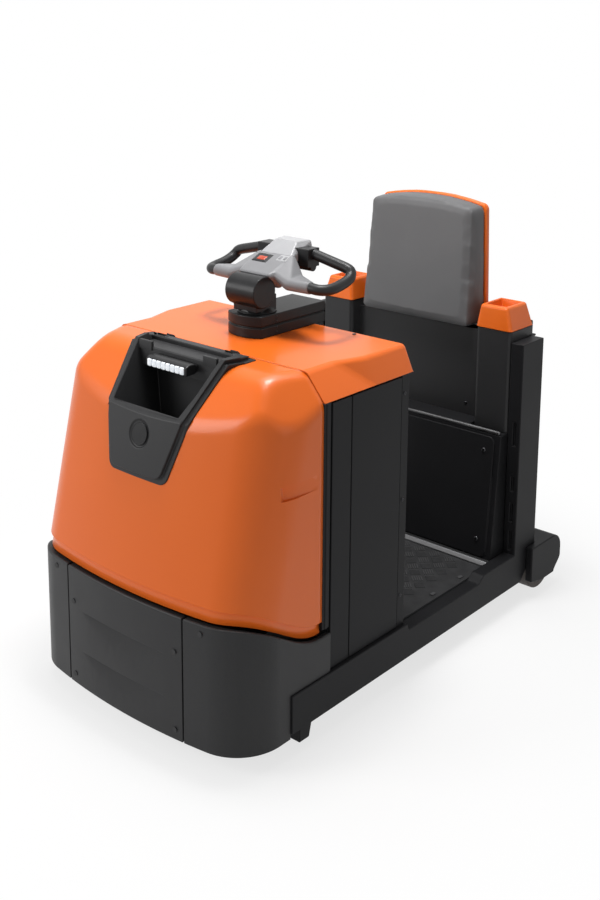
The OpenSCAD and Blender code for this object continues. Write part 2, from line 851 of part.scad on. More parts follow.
module cushion() {
  r = rest_round * 0.7;
  color(plastic_dark) intersection() {
    front_profile(rest_outline(0), rest_y, rest_back);
    side_profile(concat(arc([rest_y + r, rest_low + r], r, 180, 270),
      [[rest_back, rest_low], [rest_back, rest_high]],
      arc([rest_y + rest_lean + r, rest_high - r], r, 90, 180)), -x_plate, x_plate);
  }
}

shell_lip = 4;
shell_round = 12;
bracket_width = 180;
bracket_low = 100;
bracket_high = 60;
module backrest_shell() {
  y1 = rest_back + shell_thickness;
  r = shell_round;
  color(orange) {
    intersection() {
      front_profile(rest_outline(shell_lip), rest_back, y1);
      side_profile(concat([[rest_back, rest_low - shell_lip], [y1, rest_low - shell_lip]],
        arc([y1 - r, rest_high + shell_lip - r], r, 0, 90), [[rest_back, rest_high + shell_lip]]),
          -x_plate, x_plate);
    }
    span([-bracket_width / 2, y_back - wall_thickness, rest_low - bracket_low],
      [bracket_width / 2, y_back, rest_low + bracket_high]);
  }
}

// Rear wheels and guards

wheel_out = x_plate - 2;
wheel_in = wheel_out - rear_wheel_width;
carrier = 12;
stub_in = wheel_in - move_gap - carrier;
x_frame = stub_in + carrier;
guard_end = y_axle + rear_wheel / 2 + move_gap + guard_wall;
guard_front = y_rear - 48;
guard_low = 40;
guard_round = 45;
guard_waist = 86;
guard_tuck = 36;

// Guard outline in Y and Z: rounded rear top, and an S-shaped cut-away below it
guard_outline = concat([[guard_front, guard_low + 14], [guard_front, guard_height]],
  arc([guard_end - guard_round, guard_height - guard_round], guard_round, 90, 0),
  [for (i = [0 : 8]) let (k = i / 8) [guard_end - guard_tuck * ease(k),
    guard_waist + (guard_low - guard_waist) * k]],
  [[y_rear + 12, guard_low]]);
guard_hollow = concat([[y_rear, -cut], [y_rear, guard_height - guard_wall]],
  arc([guard_end - guard_round, guard_height - guard_round], guard_round - guard_wall, 90, 0),
  [[guard_end - guard_wall, -cut]]);
module guards() {
  x1 = x_plate + guard_proud;
  color(plastic_dark) sides() difference() {
    side_profile(guard_outline, x_frame, x1);
    side_profile(guard_hollow, x_frame - cut, x1 - guard_wall);
    span([0, guard_front - cut, 0], [x_plate, y_rear, far]);
  }
}

// Carrier plates and stubs of the rear axle
axle_z = rear_wheel / 2;
carrier_low = 30;
carrier_reach = 60;
stub_shoulder = 16;
stub_end = 3;
module rear_axles() {
  color(steel_black) sides() {
    span([stub_in, y_rear, carrier_low], [x_frame, y_axle + carrier_reach, guard_height]);
    bar_x(x_frame - cut, wheel_out + stub_end, y_axle, axle_z, axle_diameter);
    bar_x(x_frame - cut, wheel_in - cut, y_axle, axle_z, axle_diameter + stub_shoulder);
  }
}

cap_rim = 12;
module axle_caps() {
  x0 = wheel_out + stub_end;
  color(metal) sides() bar_x(x0, x0 + stub_end, y_axle, axle_z, axle_diameter + cap_rim);
}

tyre_depth = 20;
hub_flange = 4;
hub_dish = 12;
hub_diameter = rear_wheel - 2 * tyre_depth;
module rear_hub() {
  color(metal) difference() {
    union() {
      bar_x(wheel_in + cut, wheel_out, y_axle, axle_z, hub_diameter);
      bar_x(wheel_in, wheel_in + hub_flange, y_axle, axle_z, hub_diameter + 4 * hub_flange);
    }
    bar_x(wheel_in - cut, wheel_out + cut, y_axle, axle_z, axle_diameter + 2 * run_gap);
    bar_x(wheel_out - hub_dish, wheel_out + cut, y_axle, axle_z, hub_diameter - 2 * hub_dish);
  }
}

module rear_tyre() {
  color(tan_tyre) difference() {
    bar_x(wheel_in + hub_flange, wheel_out - 2, y_axle, axle_z, rear_wheel);
    bar_x(wheel_in, wheel_out + cut, y_axle, axle_z, hub_diameter + 2 * curve_gap);
  }
}

module rear_hub_left() { rear_hub(); }
module rear_tyre_left() { rear_tyre(); }
module rear_hub_right() { mirror([1, 0, 0]) rear_hub(); }
module rear_tyre_right() { mirror([1, 0, 0]) rear_tyre(); }

// Tow coupling

plate_depth = 16;
plate_half_height = 85;
bolt_edge = 25;
bolt_rise = 55;
module coupling_plate() {
  x = coupling_width / 2;
  color(steel_black) difference() {
    span([-x, y_rear, tow_height - plate_half_height], [x, y_rear + plate_depth,
      tow_height + plate_half_height]);
    for (s = [-1, 1], t = [-1, 1]) translate([s * (x - bolt_edge), y_rear - cut,
      tow_height + t * bolt_rise])
      rotate([-90, 0, 0]) cylinder(d = bolt_hole, h = plate_depth + 2 * cut);
  }
}

// Jaw with two lips and a throat, bored for the pin
jaw_half = 50;
jaw_root = 30;
pin_y = y_end - 48;
lip_low = tow_height - jaw_mouth / 2 - jaw_lip;
lip_high = tow_height + jaw_mouth / 2 + jaw_lip;
module tow_jaw() {
  y0 = y_rear + plate_depth;
  color(steel_black) difference() {
    union() {
      span([-jaw_half, y0, lip_low], [jaw_half, pin_y, lip_high]);
      translate([0, y_end - jaw_half, lip_low]) cylinder(r = jaw_half, h = lip_high - lip_low);
    }
    span([-jaw_half - cut, y0 + jaw_root, lip_low + jaw_lip],
      [jaw_half + cut, y_end + cut, lip_high - jaw_lip]);
    translate([0, pin_y, 0]) cylinder(d = pin_diameter + 2 * run_gap, h = far);
  }
}

// Pin with a collar, a neck and a cross handle
pin_tip = 8;
collar_rim = 18;
collar_height = 14;
neck_diameter = 14;
neck_height = 64;
grip_diameter = 16;
grip_width = 70;
module tow_pin() {
  color(metal) translate([0, pin_y, 0]) {
    translate([0, 0, lip_low - pin_tip]) cylinder(d = pin_diameter, h = lip_high - lip_low + pin_tip + cut);
    translate([0, 0, lip_high + cut / 2]) cylinder(d = pin_diameter + collar_rim, h = collar_height);
    translate([0, 0, lip_high]) cylinder(d = neck_diameter, h = neck_height);
    bar_x(-grip_width / 2, grip_width / 2, 0, lip_high + neck_height, grip_diameter);
  }
}

// Steering handle

y_turn = y_hood + 180;
y_drum = y_turn - 26;
console_top = top_height + console_height;
z_drum = console_top + 58;

// Console block with a bowed front and a groove round its sides
console_front = y_turn - 65;
console_overhang = 50;
console_bulge = 19;
console_bow = (pow(console_width / 2, 2) + pow(console_bulge, 2)) / (2 * console_bulge);
groove_height = 4;
groove_depth = 3;
shaft_seat = 10;
module console_plan(t) {
  intersection() {
    translate([-console_width / 2 + t, console_front + t])
      square([console_width - 2 * t, y_bulk + console_overhang - console_front - t]);
    union() {
      translate([0, console_front + console_bow]) circle(r = console_bow - t);
      translate([-console_width, console_front + console_bow]) square([2 * console_width, far]);
    }
  }
}
module console() {
  groove = (console_height - groove_height) / 2;
  color(plastic_dark) difference() {
    translate([0, 0, top_height]) {
      linear_extrude(groove) console_plan(0);
      linear_extrude(console_height) console_plan(groove_depth);
      translate([0, 0, groove + groove_height]) linear_extrude(groove) console_plan(0);
    }
    translate([0, y_turn, top_height + shaft_seat]) cylinder(d = handle_shaft + 2 * run_gap,
      h = console_height);
  }
}

// Turntable, neck and drum
turn_diameter = 104;
turn_height = 12;
neck_half = 40;
neck_ahead = 20;
neck_behind = 56;
module handle_base() {
  color(plastic_dark) {
    translate([0, y_turn, top_height + shaft_seat + move_gap])
      cylinder(d = handle_shaft, h = console_height);
    translate([0, y_turn, console_top + cut]) cylinder(d1 = turn_diameter,
      d2 = turn_diameter - 2 * turn_height,
      h = turn_height);
    span([-neck_half, y_drum - neck_ahead, console_top + turn_height / 2],
      [neck_half, y_drum + neck_behind, z_drum - turn_height]);
    bar_x(-drum_length / 2, drum_length / 2, y_drum, z_drum, drum_diameter);
  }
}

// Delta-shaped head
// Knots: half distance across, distance behind the drum, height above the drum, radius
deck_nose = [46, 22, 38, 10];
deck_rear = [54, 98, 70, 12];
belly_front = [44, 58, 16, 14];
belly_rear = [44, 108, 44, 12];
wing_root = [50, 40, 42, 12];
wing_rear = [95, 80, 30, 12];
wing_front = [100, 36, 24, 16];
wing_end = [wing_half, 46, 22, 16];
wing_end_length = 18;
module knot(k) { translate([k[0], y_drum + k[1], z_drum + k[2]]) sphere(r = k[3], $fn = 32); }
module wing_tip() {
  bar_x(wing_half - wing_end_length, wing_half, y_drum + wing_end[1], z_drum + wing_end[2],
    2 * wing_end[3]);
}

module handle_head() {
  color(grey_light) difference() {
    union() {
      hull() sides() for (k = [deck_nose, deck_rear, belly_front, belly_rear]) knot(k);
      sides() {
        hull() for (k = [wing_root, deck_rear, wing_rear, wing_front]) knot(k);
        hull() {
          knot(wing_rear);
          knot(wing_front);
          wing_tip();
        }
      }
    }
    cap_form(curve_gap);
    bar_x(-drum_length / 2 - cut, drum_length / 2 + cut, y_drum, z_drum, drum_diameter + 2 * curve_gap);
  }
}

// Light cap on the rear of the head, its knots grown by g
cap_knots = [[49, 101, 76, 6], [34, 139, 105, 6], [42, 179, 105, 6], [44, 184, 80, 6], [48, 118, 66, 6]];
module cap_form(g) {
  hull() sides() for (k = cap_knots) knot(k + [0, 0, 0, g]);
}
module switch_cap() { color(grey_pale) cap_form(0); }

// Loop tubes, which end at root_in beside the cap
root_in = 88;
// Centre line: distance across, distance behind the drum, height above the drum
loop_path = [[wing_half - 30, 44, 23], [wing_half - 16, 45, 22], [wing_half, 46, 22],
  [wing_half + 22, 50, 20],
  [loop_half - 6, 63, 20], [loop_half, 86, 22], [loop_half, 116, 27], [loop_half, 142, 35],
    [loop_half - 4, 156, 45],
  [loop_half - 15, 160, 56], [150, 156, 67], [root_in, 150, 82], [root_in - 18, 148, 86], [root_in - 36,
    146, 90]];
loop_steps = 4;
tube_sides = 24;
loop_up = [0, -0.4, 0.9];

// Point on the smooth curve through four neighbouring path points
function spline(a, b, c, d, t) =
  0.5 * (2 * b + (c - a) * t + (2 * a - 5 * b + 4 * c - d) * t * t + (3 * b - a - 3 * c + d) * t * t * t);
function unit(v) = v / norm(v);

// Tube along the smooth curve through the path, from its second point to its last but one
module tube(path, d) {
  line = [for (i = [1 : len(path) - 3], j = [0 : loop_steps - 1])
    spline(path[i - 1], path[i], path[i + 1], path[i + 2], j / loop_steps)];
  last = len(line) - 1;
  n = tube_sides;
  rings = [for (i = [0 : last]) let (along = unit(line[min(i + 1, last)] - line[max(i - 1, 0)]),
      u = unit(cross(along, loop_up)), v = cross(along, u))
    for (j = [0 : n - 1]) line[i] + d / 2 * (cos(360 * j / n) * u + sin(360 * j / n) * v)];
  loft(rings, n);
}

// Loops between the wing ends and the control brackets
root_split = 45;
module handle_loops() {
  color(plastic_dark) sides() difference() {
    translate([0, y_drum, z_drum]) tube(loop_path, loop_tube);
    span([0, y_drum, 0], [wing_half, y_drum + 100, z_drum + root_split]);
    span([0, y_drum + 100, 0], [root_in, y_bulk, z_drum + far]);
  }
}

// Brackets with thumb switches beside the cap, joined by a cross bar under it
// Bracket: nearest and farthest behind the drum, lowest and highest above it
bracket_box = [122, 168, 50, 98];
bracket_in = 36;
cross_bar = 24;
module handle_controls() {
  color(plastic_dark) translate([0, y_drum, z_drum]) difference() {
    union() {
      sides() span([bracket_in, bracket_box[0], bracket_box[2]], [root_in, bracket_box[1], bracket_box[3]]);
      bar_x(-root_in, root_in, (bracket_box[0] + bracket_box[1]) / 2, bracket_box[2], cross_bar);
    }
    translate([0, -y_drum, -z_drum]) cap_form(curve_gap);
  }
}

// Drive unit

fork_in = drive_wheel_width / 2 + move_gap;
fork_width = 46;
fork_half = 52;
fork_low = 60;
fork_disc = 170;
drive_z = drive_wheel / 2;
fork_top = frame_top - 1;
spigot_height = 36;
axle_shoulder = 20;
module drive_fork() {
  disc_low = drive_wheel + move_gap;
  color(metal) translate([0, y_drive, 0]) {
    translate([0, 0, disc_low]) cylinder(d = fork_disc, h = fork_top - disc_low);
    translate([0, 0, fork_top - cut]) cylinder(d = steer_spigot, h = spigot_height);
    span([fork_in, -fork_half, drive_z - fork_low], [fork_in + fork_width, fork_half, disc_low + move_gap]);
    bar_x(-drive_wheel_width / 2 + 2, fork_in + cut, 0, drive_z, drive_axle);
    bar_x(drive_wheel_width / 2 + cut / 2, fork_in + cut, 0, drive_z, drive_axle + axle_shoulder);
  }
}

module drive_motor() {
  motor_low = fork_top - cut + spigot_height;
  color(steel_black) translate([0, y_drive, motor_low])
    cylinder(d = motor_diameter, h = pocket_low - tray_wall - motor_clearance - motor_low);
}

drive_tyre_depth = 30;
drive_hub_diameter = drive_wheel - 2 * drive_tyre_depth;
drive_flange = 20;
module drive_hub() {
  w = drive_wheel_width / 2;
  color(metal) translate([0, y_drive, 0]) difference() {
    union() {
      bar_x(-w, w - cut, 0, drive_z, drive_hub_diameter);
      bar_x(-w, -w + hub_flange, 0, drive_z, drive_hub_diameter + drive_flange);
    }
    bar_x(-w + cut, w + cut, 0, drive_z, drive_axle + 2 * run_gap);
  }
}

module drive_tyre() {
  w = drive_wheel_width / 2;
  color(tan_tyre) translate([0, y_drive, 0]) difference() {
    bar_x(-w + hub_flange, w - cut, 0, drive_z, drive_wheel);
    bar_x(-w - cut, w + cut, 0, drive_z, drive_hub_diameter + 2 * curve_gap);
  }
}

// Assembly
side_plates();
front_frame();
drive_mount();
floor_plate();
floor_mat();
kick_strip();
battery();
hood_frame();
bulkhead();
side_covers();
top_cover();
hood();
tray();
badge_disc();
lamp();
lamp_bracket();
bumper_centre();
bumper_sides();
console();
rear_wall();
rear_panel();
upper_panel();
columns();
cap_bins();
cushion();
backrest_shell();
guards();
rear_axles();
axle_caps();
rear_hub_left();
rear_tyre_left();
rear_hub_right();
rear_tyre_right();
coupling_plate();
tow_jaw();
tow_pin();
handle_base();
handle_head();
switch_cap();
handle_loops();
handle_controls();
drive_fork();
drive_motor();
drive_hub();
drive_tyre();
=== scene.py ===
import math

import bmesh
import bpy
from mathutils import Matrix, Quaternion, Vector
from mathutils.bvhtree import BVHTree


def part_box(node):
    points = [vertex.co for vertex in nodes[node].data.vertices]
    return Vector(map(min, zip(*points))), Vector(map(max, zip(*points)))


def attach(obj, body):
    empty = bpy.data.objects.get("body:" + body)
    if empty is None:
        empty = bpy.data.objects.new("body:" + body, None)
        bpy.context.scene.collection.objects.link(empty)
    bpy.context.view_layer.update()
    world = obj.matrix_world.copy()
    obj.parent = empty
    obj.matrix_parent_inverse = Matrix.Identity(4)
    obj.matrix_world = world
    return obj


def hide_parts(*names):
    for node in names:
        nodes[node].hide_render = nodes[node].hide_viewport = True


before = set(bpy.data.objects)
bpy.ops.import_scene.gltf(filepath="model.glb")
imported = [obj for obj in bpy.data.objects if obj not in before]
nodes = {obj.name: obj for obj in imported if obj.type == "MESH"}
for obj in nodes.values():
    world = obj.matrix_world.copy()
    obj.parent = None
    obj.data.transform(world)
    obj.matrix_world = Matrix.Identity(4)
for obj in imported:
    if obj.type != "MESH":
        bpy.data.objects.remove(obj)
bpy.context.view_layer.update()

# Chassis: two thick side plates with rear posts, cross walls, the front weldment and the plates it carries.
# Flame-cut and folded mild steel, welded together; the edges are dressed before the frame is powder coated.


def linear(code):
    """Linear RGBA of an sRGB hex colour."""
    parts = [int(code[i:i + 2], 16) / 255 for i in (1, 3, 5)]
    return [c / 12.92 if c <= 0.04045 else ((c + 0.055) / 1.055) ** 2.4 for c in parts] + [1.0]


def put(tree, kind, values=None, links=None):
    """Adds a node, sets its properties and inputs, links sockets to its inputs and returns its outputs."""
    made = tree.nodes.new(kind)
    for key, value in (values or {}).items():
        if isinstance(key, str) and hasattr(made, key):
            setattr(made, key, value)
        else:
            made.inputs[key].default_value = value
    for key, socket in (links or {}).items():
        tree.links.new(socket, made.inputs[key])
    return made.outputs


def begin(name, **constants):
    """A new material: its tree, its shader with constant inputs set, and the object's own place in metres."""
    made = bpy.data.materials.new(name)
    made.use_nodes = True
    shader = made.node_tree.nodes["Principled BSDF"]
    for key, value in constants.items():
        shader.inputs[key.replace("_", " ")].default_value = value
    place = put(made.node_tree, "ShaderNodeTexCoord")["Object"]
    return made, made.node_tree, shader.inputs, place


def mottle(tree, shader, pattern, dark, light, smooth, rough):
    """Lets a pattern run the colour between two hex values and the roughness between two figures."""
    tint = put(tree, "ShaderNodeMix", {"data_type": "RGBA", 6: linear(dark), 7: linear(light)}, {0: pattern})
    tree.links.new(tint[2], shader["Base Color"])
    gloss = put(tree, "ShaderNodeMapRange", {3: smooth, 4: rough}, {0: pattern})
    tree.links.new(gloss[0], shader["Roughness"])


# Powder coat: a satin black film; its orange peel is about 1 mm, drawn at 2.5 mm so that it shows.
powder_coat, tree, shader, place = begin("black_powder_coat", Specular_IOR_Level=0.10)
cloud = put(tree, "ShaderNodeTexNoise", {"Scale": 1 / 0.25, "Detail": 3.0}, {"Vector": place})["Fac"]
mottle(tree, shader, cloud, "#1a1a1b", "#222224", 0.38, 0.56)
peel = put(tree, "ShaderNodeTexNoise", {"Scale": 1 / 0.0025, "Detail": 1.0}, {"Vector": place})["Fac"]
bump = put(tree, "ShaderNodeBump", {"Distance": 0.00008}, {"Height": peel})
tree.links.new(bump[0], shader["Normal"])


def welded(node):
    """Outline of a CAD node with its seams joined and its flat faces merged."""
    shape = bmesh.new()
    shape.from_mesh(nodes[node].data)
    bmesh.ops.remove_doubles(shape, verts=shape.verts, dist=2e-5)
    bmesh.ops.dissolve_limit(shape, angle_limit=math.radians(0.4), verts=shape.verts, edges=shape.edges)
    return shape


def settle(shape, name, finish, smooth=40):
    """Makes an object of a bmesh, with one finish and smooth faces up to an angle in degrees."""
    shape.verts.index_update()
    mesh = bpy.data.meshes.new(name)
    mesh.from_pydata([v.co[:] for v in shape.verts], [], [[v.index for v in f.verts] for f in shape.faces])
    shape.free()
    mesh.materials.append(finish)
    mesh.shade_smooth()
    mesh.set_sharp_from_angle(angle=math.radians(smooth))
    made = bpy.data.objects.new(name, mesh)
    bpy.context.scene.collection.objects.link(made)
    return made


def fix(piece, body, slot, *replaced):
    """Puts a piece on its body and hides the CAD nodes that it stands for; the slot is not used."""
    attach(piece, body)
    if replaced:
        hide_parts(*replaced)
    return piece


def rounded(node, width, finish, body, slot, segments=3, angle=28, form=None):
    """The CAD node with rounded edges; width is in metres or a function of the edge, form reshapes it first."""
    shape = welded(node)
    if form:
        form(shape)
    shape.verts.index_update()
    widths = {}
    for edge in shape.edges:
        if len(edge.link_faces) == 2 and edge.calc_face_angle(0.0) > math.radians(angle):
            widths[frozenset(v.index for v in edge.verts)] = width(edge) if callable(width) else width
    piece = settle(shape, node + "_body", finish)
    widest = max(widths.values())
    weights = piece.data.attributes.new("bevel_weight_edge", "FLOAT", "EDGE")
    for edge in piece.data.edges:
        weights.data[edge.index].value = widths.get(frozenset(edge.vertices), 0.0) / widest
    dressing = piece.modifiers.new("dressed_edges", "BEVEL")
    dressing.width, dressing.segments, dressing.limit_method = widest, segments, "WEIGHT"
    dressing.use_clamp_overlap = dressing.loop_slide = False
    piece.modifiers.new("flat_faces", "WEIGHTED_NORMAL").keep_sharp = True
    return fix(piece, body, slot, node)


def coat(finish, *names):
    """Gives CAD nodes a finish."""
    for name in names:
        nodes[name].data.materials.clear()
        nodes[name].data.materials.append(finish)


rounded("side_plates", 0.0025, powder_coat, "chassis", "painted_steel")
rounded("bulkhead", 0.0015, powder_coat, "chassis", "painted_steel")
rounded("hood_frame", 0.0012, powder_coat, "chassis", "painted_steel")
rounded("rear_wall", 0.002, powder_coat, "chassis", "painted_steel")
coat(powder_coat, "front_frame", "drive_mount", "floor_plate")

# Floor mat: a loose rubber mat with tread bars in fives, set crosswise in tiles, inside a plain border.
# Press-moulded in nitrile rubber; three oval studs on each border hold it down.
# The mat, the kick strip and the panel's foot lie a little further back here than in the solids.
mat_low, mat_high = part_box("floor_mat")
deck_more, tread_height = 0.030, 0.0022
mat_high = (mat_high[0], mat_high[1] + deck_more, mat_high[2])
mat_base = mat_high[2] - tread_height
# Nitrile rubber: dull and slightly dusty in random patches; painted shade darkens it between the bars and painted
# light brightens the bar tops.
nitrile, tree, shader, place = begin("nitrile_rubber", Specular_IOR_Level=0.15)
dust = put(tree, "ShaderNodeTexNoise", {"Scale": 1 / 0.03, "Detail": 4.0}, {"Vector": place})["Fac"]
height = put(tree, "ShaderNodeSeparateXYZ", None, {0: place})["Z"]
bar_top = put(tree, "ShaderNodeMapRange", {1: mat_base, 2: mat_high[2]}, {0: height})
# Painted shade and light: the colour runs from dark at the mat's base to light at the bar tops.
between, lit_bar_tops = linear("#1f1f20"), linear("#4c4c4d")
bar_light_and_shade = put(tree, "ShaderNodeMix", {"data_type": "RGBA", 6: between, 7: lit_bar_tops}, {0: bar_top[0]})
tint = put(tree, "ShaderNodeMix", {"data_type": "RGBA", 7: linear("#3c3c3d")}, {0: dust, 6: bar_light_and_shade[2]})
tree.links.new(tint[2], shader["Base Color"])
gloss = put(tree, "ShaderNodeMapRange", {3: 0.55, 4: 0.75}, {0: dust})
tree.links.new(gloss[0], shader["Roughness"])
grit = put(tree, "ShaderNodeTexNoise", {"Scale": 1 / 0.0015, "Detail": 2.0}, {"Vector": place})["Fac"]
bump = put(tree, "ShaderNodeBump", {"Distance": 0.00012}, {"Height": grit})
tree.links.new(bump[0], shader["Normal"])

tile, bar_long, bar_wide, bar_pitch, bars = 0.038, 0.029, 0.0034, 0.0064, 5
border = 0.034


def raised_bar(shape, middle, along, length, width, low, high):
    """A bar with sloped flanks on a horizontal base."""
    across = Vector((-along.y, along.x, 0))
    draft, nose, waist = 0.0007, 0.4, 0.93
    corners = ((-1, -nose), (-waist, -1), (waist, -1), (1, -nose), (1, nose), (waist, 1), (-waist, 1), (-1, nose))
    rings = []
    for z, inset in ((low, 0.0), (high, draft)):
        half, wide = length / 2 - inset, width / 2 - inset
        ring = [middle + along * (half * a) + across * (wide * b) for a, b in corners]
        rings.append([shape.verts.new((q.x, q.y, z)) for q in ring])
    count = len(rings[0])
    for i in range(count):
        shape.faces.new((rings[0][i], rings[0][(i + 1) % count], rings[1][(i + 1) % count], rings[1][i]))
    shape.faces.new(rings[1])
    shape.faces.new(rings[0][::-1])


def slab(shape, low, high, round_over):
    """A box with rounded upper edges, added to a bmesh."""
    made = bmesh.ops.create_cube(shape, size=1.0)["verts"]
    for v in made:
        v.co = Vector([low[i] if v.co[i] < 0 else high[i] for i in range(3)])
    faces = {f for v in made for f in v.link_faces}
    edges = {e for f in faces for e in f.edges if all(v.co.z > (low[2] + high[2]) / 2 for v in e.verts)}
    bmesh.ops.bevel(shape, geom=list(edges), offset=round_over, segments=3, profile=0.5, affect="EDGES")


sunk = 0.0005
mat_shape = bmesh.new()
slab(mat_shape, mat_low, (mat_high[0], mat_high[1], mat_base), 0.002)
diagonal = Vector((1, -1, 0)).normalized()
crosswise = Vector((1, 1, 0)).normalized()
middle = (Vector(mat_low) + Vector(mat_high)) / 2
reach = 16
for i in range(-reach, reach + 1):
    for j in range(-reach, reach + 1):
        spot = middle + diagonal * (i * tile) + crosswise * (j * tile)
        if abs(spot.x - middle.x) > mat_high[0] - border - tile / 2 or not (
                mat_low[1] + tile / 2 < spot.y < mat_high[1] - tile / 2):
            continue
        along, side = (diagonal, crosswise) if (i + j) % 2 else (crosswise, diagonal)
        for k in range(bars):
            raised_bar(mat_shape, spot + side * ((k - (bars - 1) / 2) * bar_pitch), along, bar_long, bar_wide,
                       mat_base - sunk, mat_high[2])
stud_long, stud_wide, stud_proud = 0.018, 0.011, 0.001
for side in (-1, 1):
    x = side * (mat_high[0] - border / 2)
    for y in (mat_low[1] + 0.035, middle.y - 0.02, mat_high[1] - 0.1):
        raised_bar(mat_shape, Vector((x, y, 0)), Vector((0, 1, 0)), stud_long, stud_wide,
                   mat_base - sunk, mat_high[2] + stud_proud)
fix(settle(mat_shape, "tread_mat", nitrile, 30), "chassis", "mat_rubber", "floor_mat")

# Kick strip: an extruded edge between the mat and the rear panel.
# Anodised aluminium with fine lengthwise die lines, so it shows one soft bright streak.
anodised, tree, shader, place = begin("anodised_aluminium", Metallic=1.0)
lines = put(tree, "ShaderNodeMapping", {"Scale": (6.0, 700.0, 700.0)}, {"Vector": place})
die = put(tree, "ShaderNodeTexNoise", {"Scale": 1.0, "Detail": 3.0}, {"Vector": lines[0]})["Fac"]
mottle(tree, shader, die, "#5e5e5f", "#777778", 0.34, 0.5)
bump = put(tree, "ShaderNodeBump", {"Distance": 0.00005}, {"Height": die})
tree.links.new(bump[0], shader["Normal"])


def behind_mat(shape):
    """Moves the strip back with the mat's edge."""
    bmesh.ops.translate(shape, vec=(0, deck_more, 0), verts=shape.verts)


rounded("kick_strip", 0.002, anodised, "chassis", "bright_strip", form=behind_mat)

# Battery: a block of cells in a tray, hidden behind the covers.
# Its tray is painted with a dull acid-proof enamel that dries a little uneven.
enamel, tree, shader, place = begin("acid_proof_enamel")
runs = put(tree, "ShaderNodeTexNoise", {"Scale": 1 / 0.06, "Detail": 2.0}, {"Vector": place})["Fac"]
mottle(tree, shader, runs, "#26292d", "#30343a", 0.4, 0.6)
coat(enamel, "battery")

# Side covers: flat doors beside the battery, hooked in below and held by small screws at the rear edge.
# Folded steel sheet with the chassis coat; the screws are black socket screws.
rounded("side_covers", 0.0015, powder_coat, "chassis", "painted_steel")


def socket_screws(name, places, width, height, finish, body, slot):
    """Button heads with a hexagon socket; each place is a point and the way the head faces."""
    turns = 24
    shape = bmesh.new()
    for point, way in places:
        turn = Vector(way).to_track_quat("Z", "Y").to_matrix().to_4x4()
        stand = Matrix.Translation(point) @ turn
        rings = []
        for share, rise, six in ((0.9, -0.3, 0), (1.0, 0.0, 0), (0.97, 0.35, 0), (0.78, 0.8, 0), (0.55, 1.0, 0),
                                 (0.42, 1.0, 1), (0.40, 0.35, 1)):
            ring = []
            for k in range(turns):
                a = 2 * math.pi * k / turns
                r = share * width / 2
                if six:
                    r *= math.cos(math.pi / 6) / math.cos((a + math.pi / 6) % (math.pi / 3) - math.pi / 6)
                ring.append(shape.verts.new(stand @ Vector((r * math.cos(a), r * math.sin(a), rise * height))))
            rings.append(ring)
        for a, b in zip(rings, rings[1:]):
            for k in range(turns):
                shape.faces.new((a[k], a[(k + 1) % turns], b[(k + 1) % turns], b[k]))
        shape.faces.new(rings[-1])
        shape.faces.new(rings[0][::-1])
    return fix(settle(shape, name, finish, 35), body, slot)


# Black oxide: blued screw steel, dark with a slightly oily shine.
black_oxide, tree, shader, place = begin("black_oxide_steel", Metallic=1.0)
oil = put(tree, "ShaderNodeTexNoise", {"Scale": 1 / 0.004, "Detail": 2.0}, {"Vector": place})["Fac"]
mottle(tree, shader, oil, "#303032", "#48484a", 0.28, 0.42)

bulk_low, bulk_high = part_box("bulkhead")
socket_screws("cover_screws", [((side * bulk_high[0], bulk_low[1] + 0.012, z), (side, 0, 0))
                               for side in (-1, 1) for z in (0.24, 0.50, 0.78)],
              0.009, 0.003, black_oxide, "chassis", "painted_steel")

# Top cover: a deep moulding over the battery, with a narrow seam to the hood in front of it and two screws behind.
# Glass-fibre resin with a gel coat in orange; the mould is polished, so broad edges run soft and glossy.
# Gel coat: even saturated orange under a clear gloss, with the slight waviness of a hand-laid skin.
gel_coat, tree, shader, place = begin("orange_gel_coat", Specular_IOR_Level=0.25,
                                      Coat_Weight=0.12, Coat_Roughness=0.1)
drift = put(tree, "ShaderNodeTexNoise", {"Scale": 1 / 0.4, "Detail": 2.0}, {"Vector": place})["Fac"]
mottle(tree, shader, drift, "#e0641a", "#e66c1f", 0.26, 0.36)
wave = put(tree, "ShaderNodeTexNoise", {"Scale": 1 / 0.06, "Detail": 1.0}, {"Vector": place})["Fac"]
bump = put(tree, "ShaderNodeBump", {"Distance": 0.00018}, {"Height": wave})
tree.links.new(bump[0], shader["Normal"])

hood_middle, cover_rim = Vector((0.0, -0.45, 0.60)), 0.86


def faces_out(edge):
    """True where both faces beside an edge look away from the middle of the hood."""
    way = (edge.verts[0].co + edge.verts[1].co) / 2 - hood_middle
    return all(f.normal.dot(way) > 0.004 for f in edge.link_faces)


def cover_edge(edge):
    """Broad rounding on the top cover's upper edges, small on its rims."""
    return 0.011 if faces_out(edge) and max(v.co.z for v in edge.verts) > cover_rim else 0.002


rounded("top_cover", cover_edge, gel_coat, "chassis", "orange_moulding", segments=5, angle=20)
cover_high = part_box("top_cover")[1]
socket_screws("top_cover_screws", [((side * 0.2, cover_high[1] - 0.022, cover_high[2]), (0, 0, 1))
                                   for side in (-1, 1)],
              0.011, 0.0025, black_oxide, "chassis", "painted_steel")

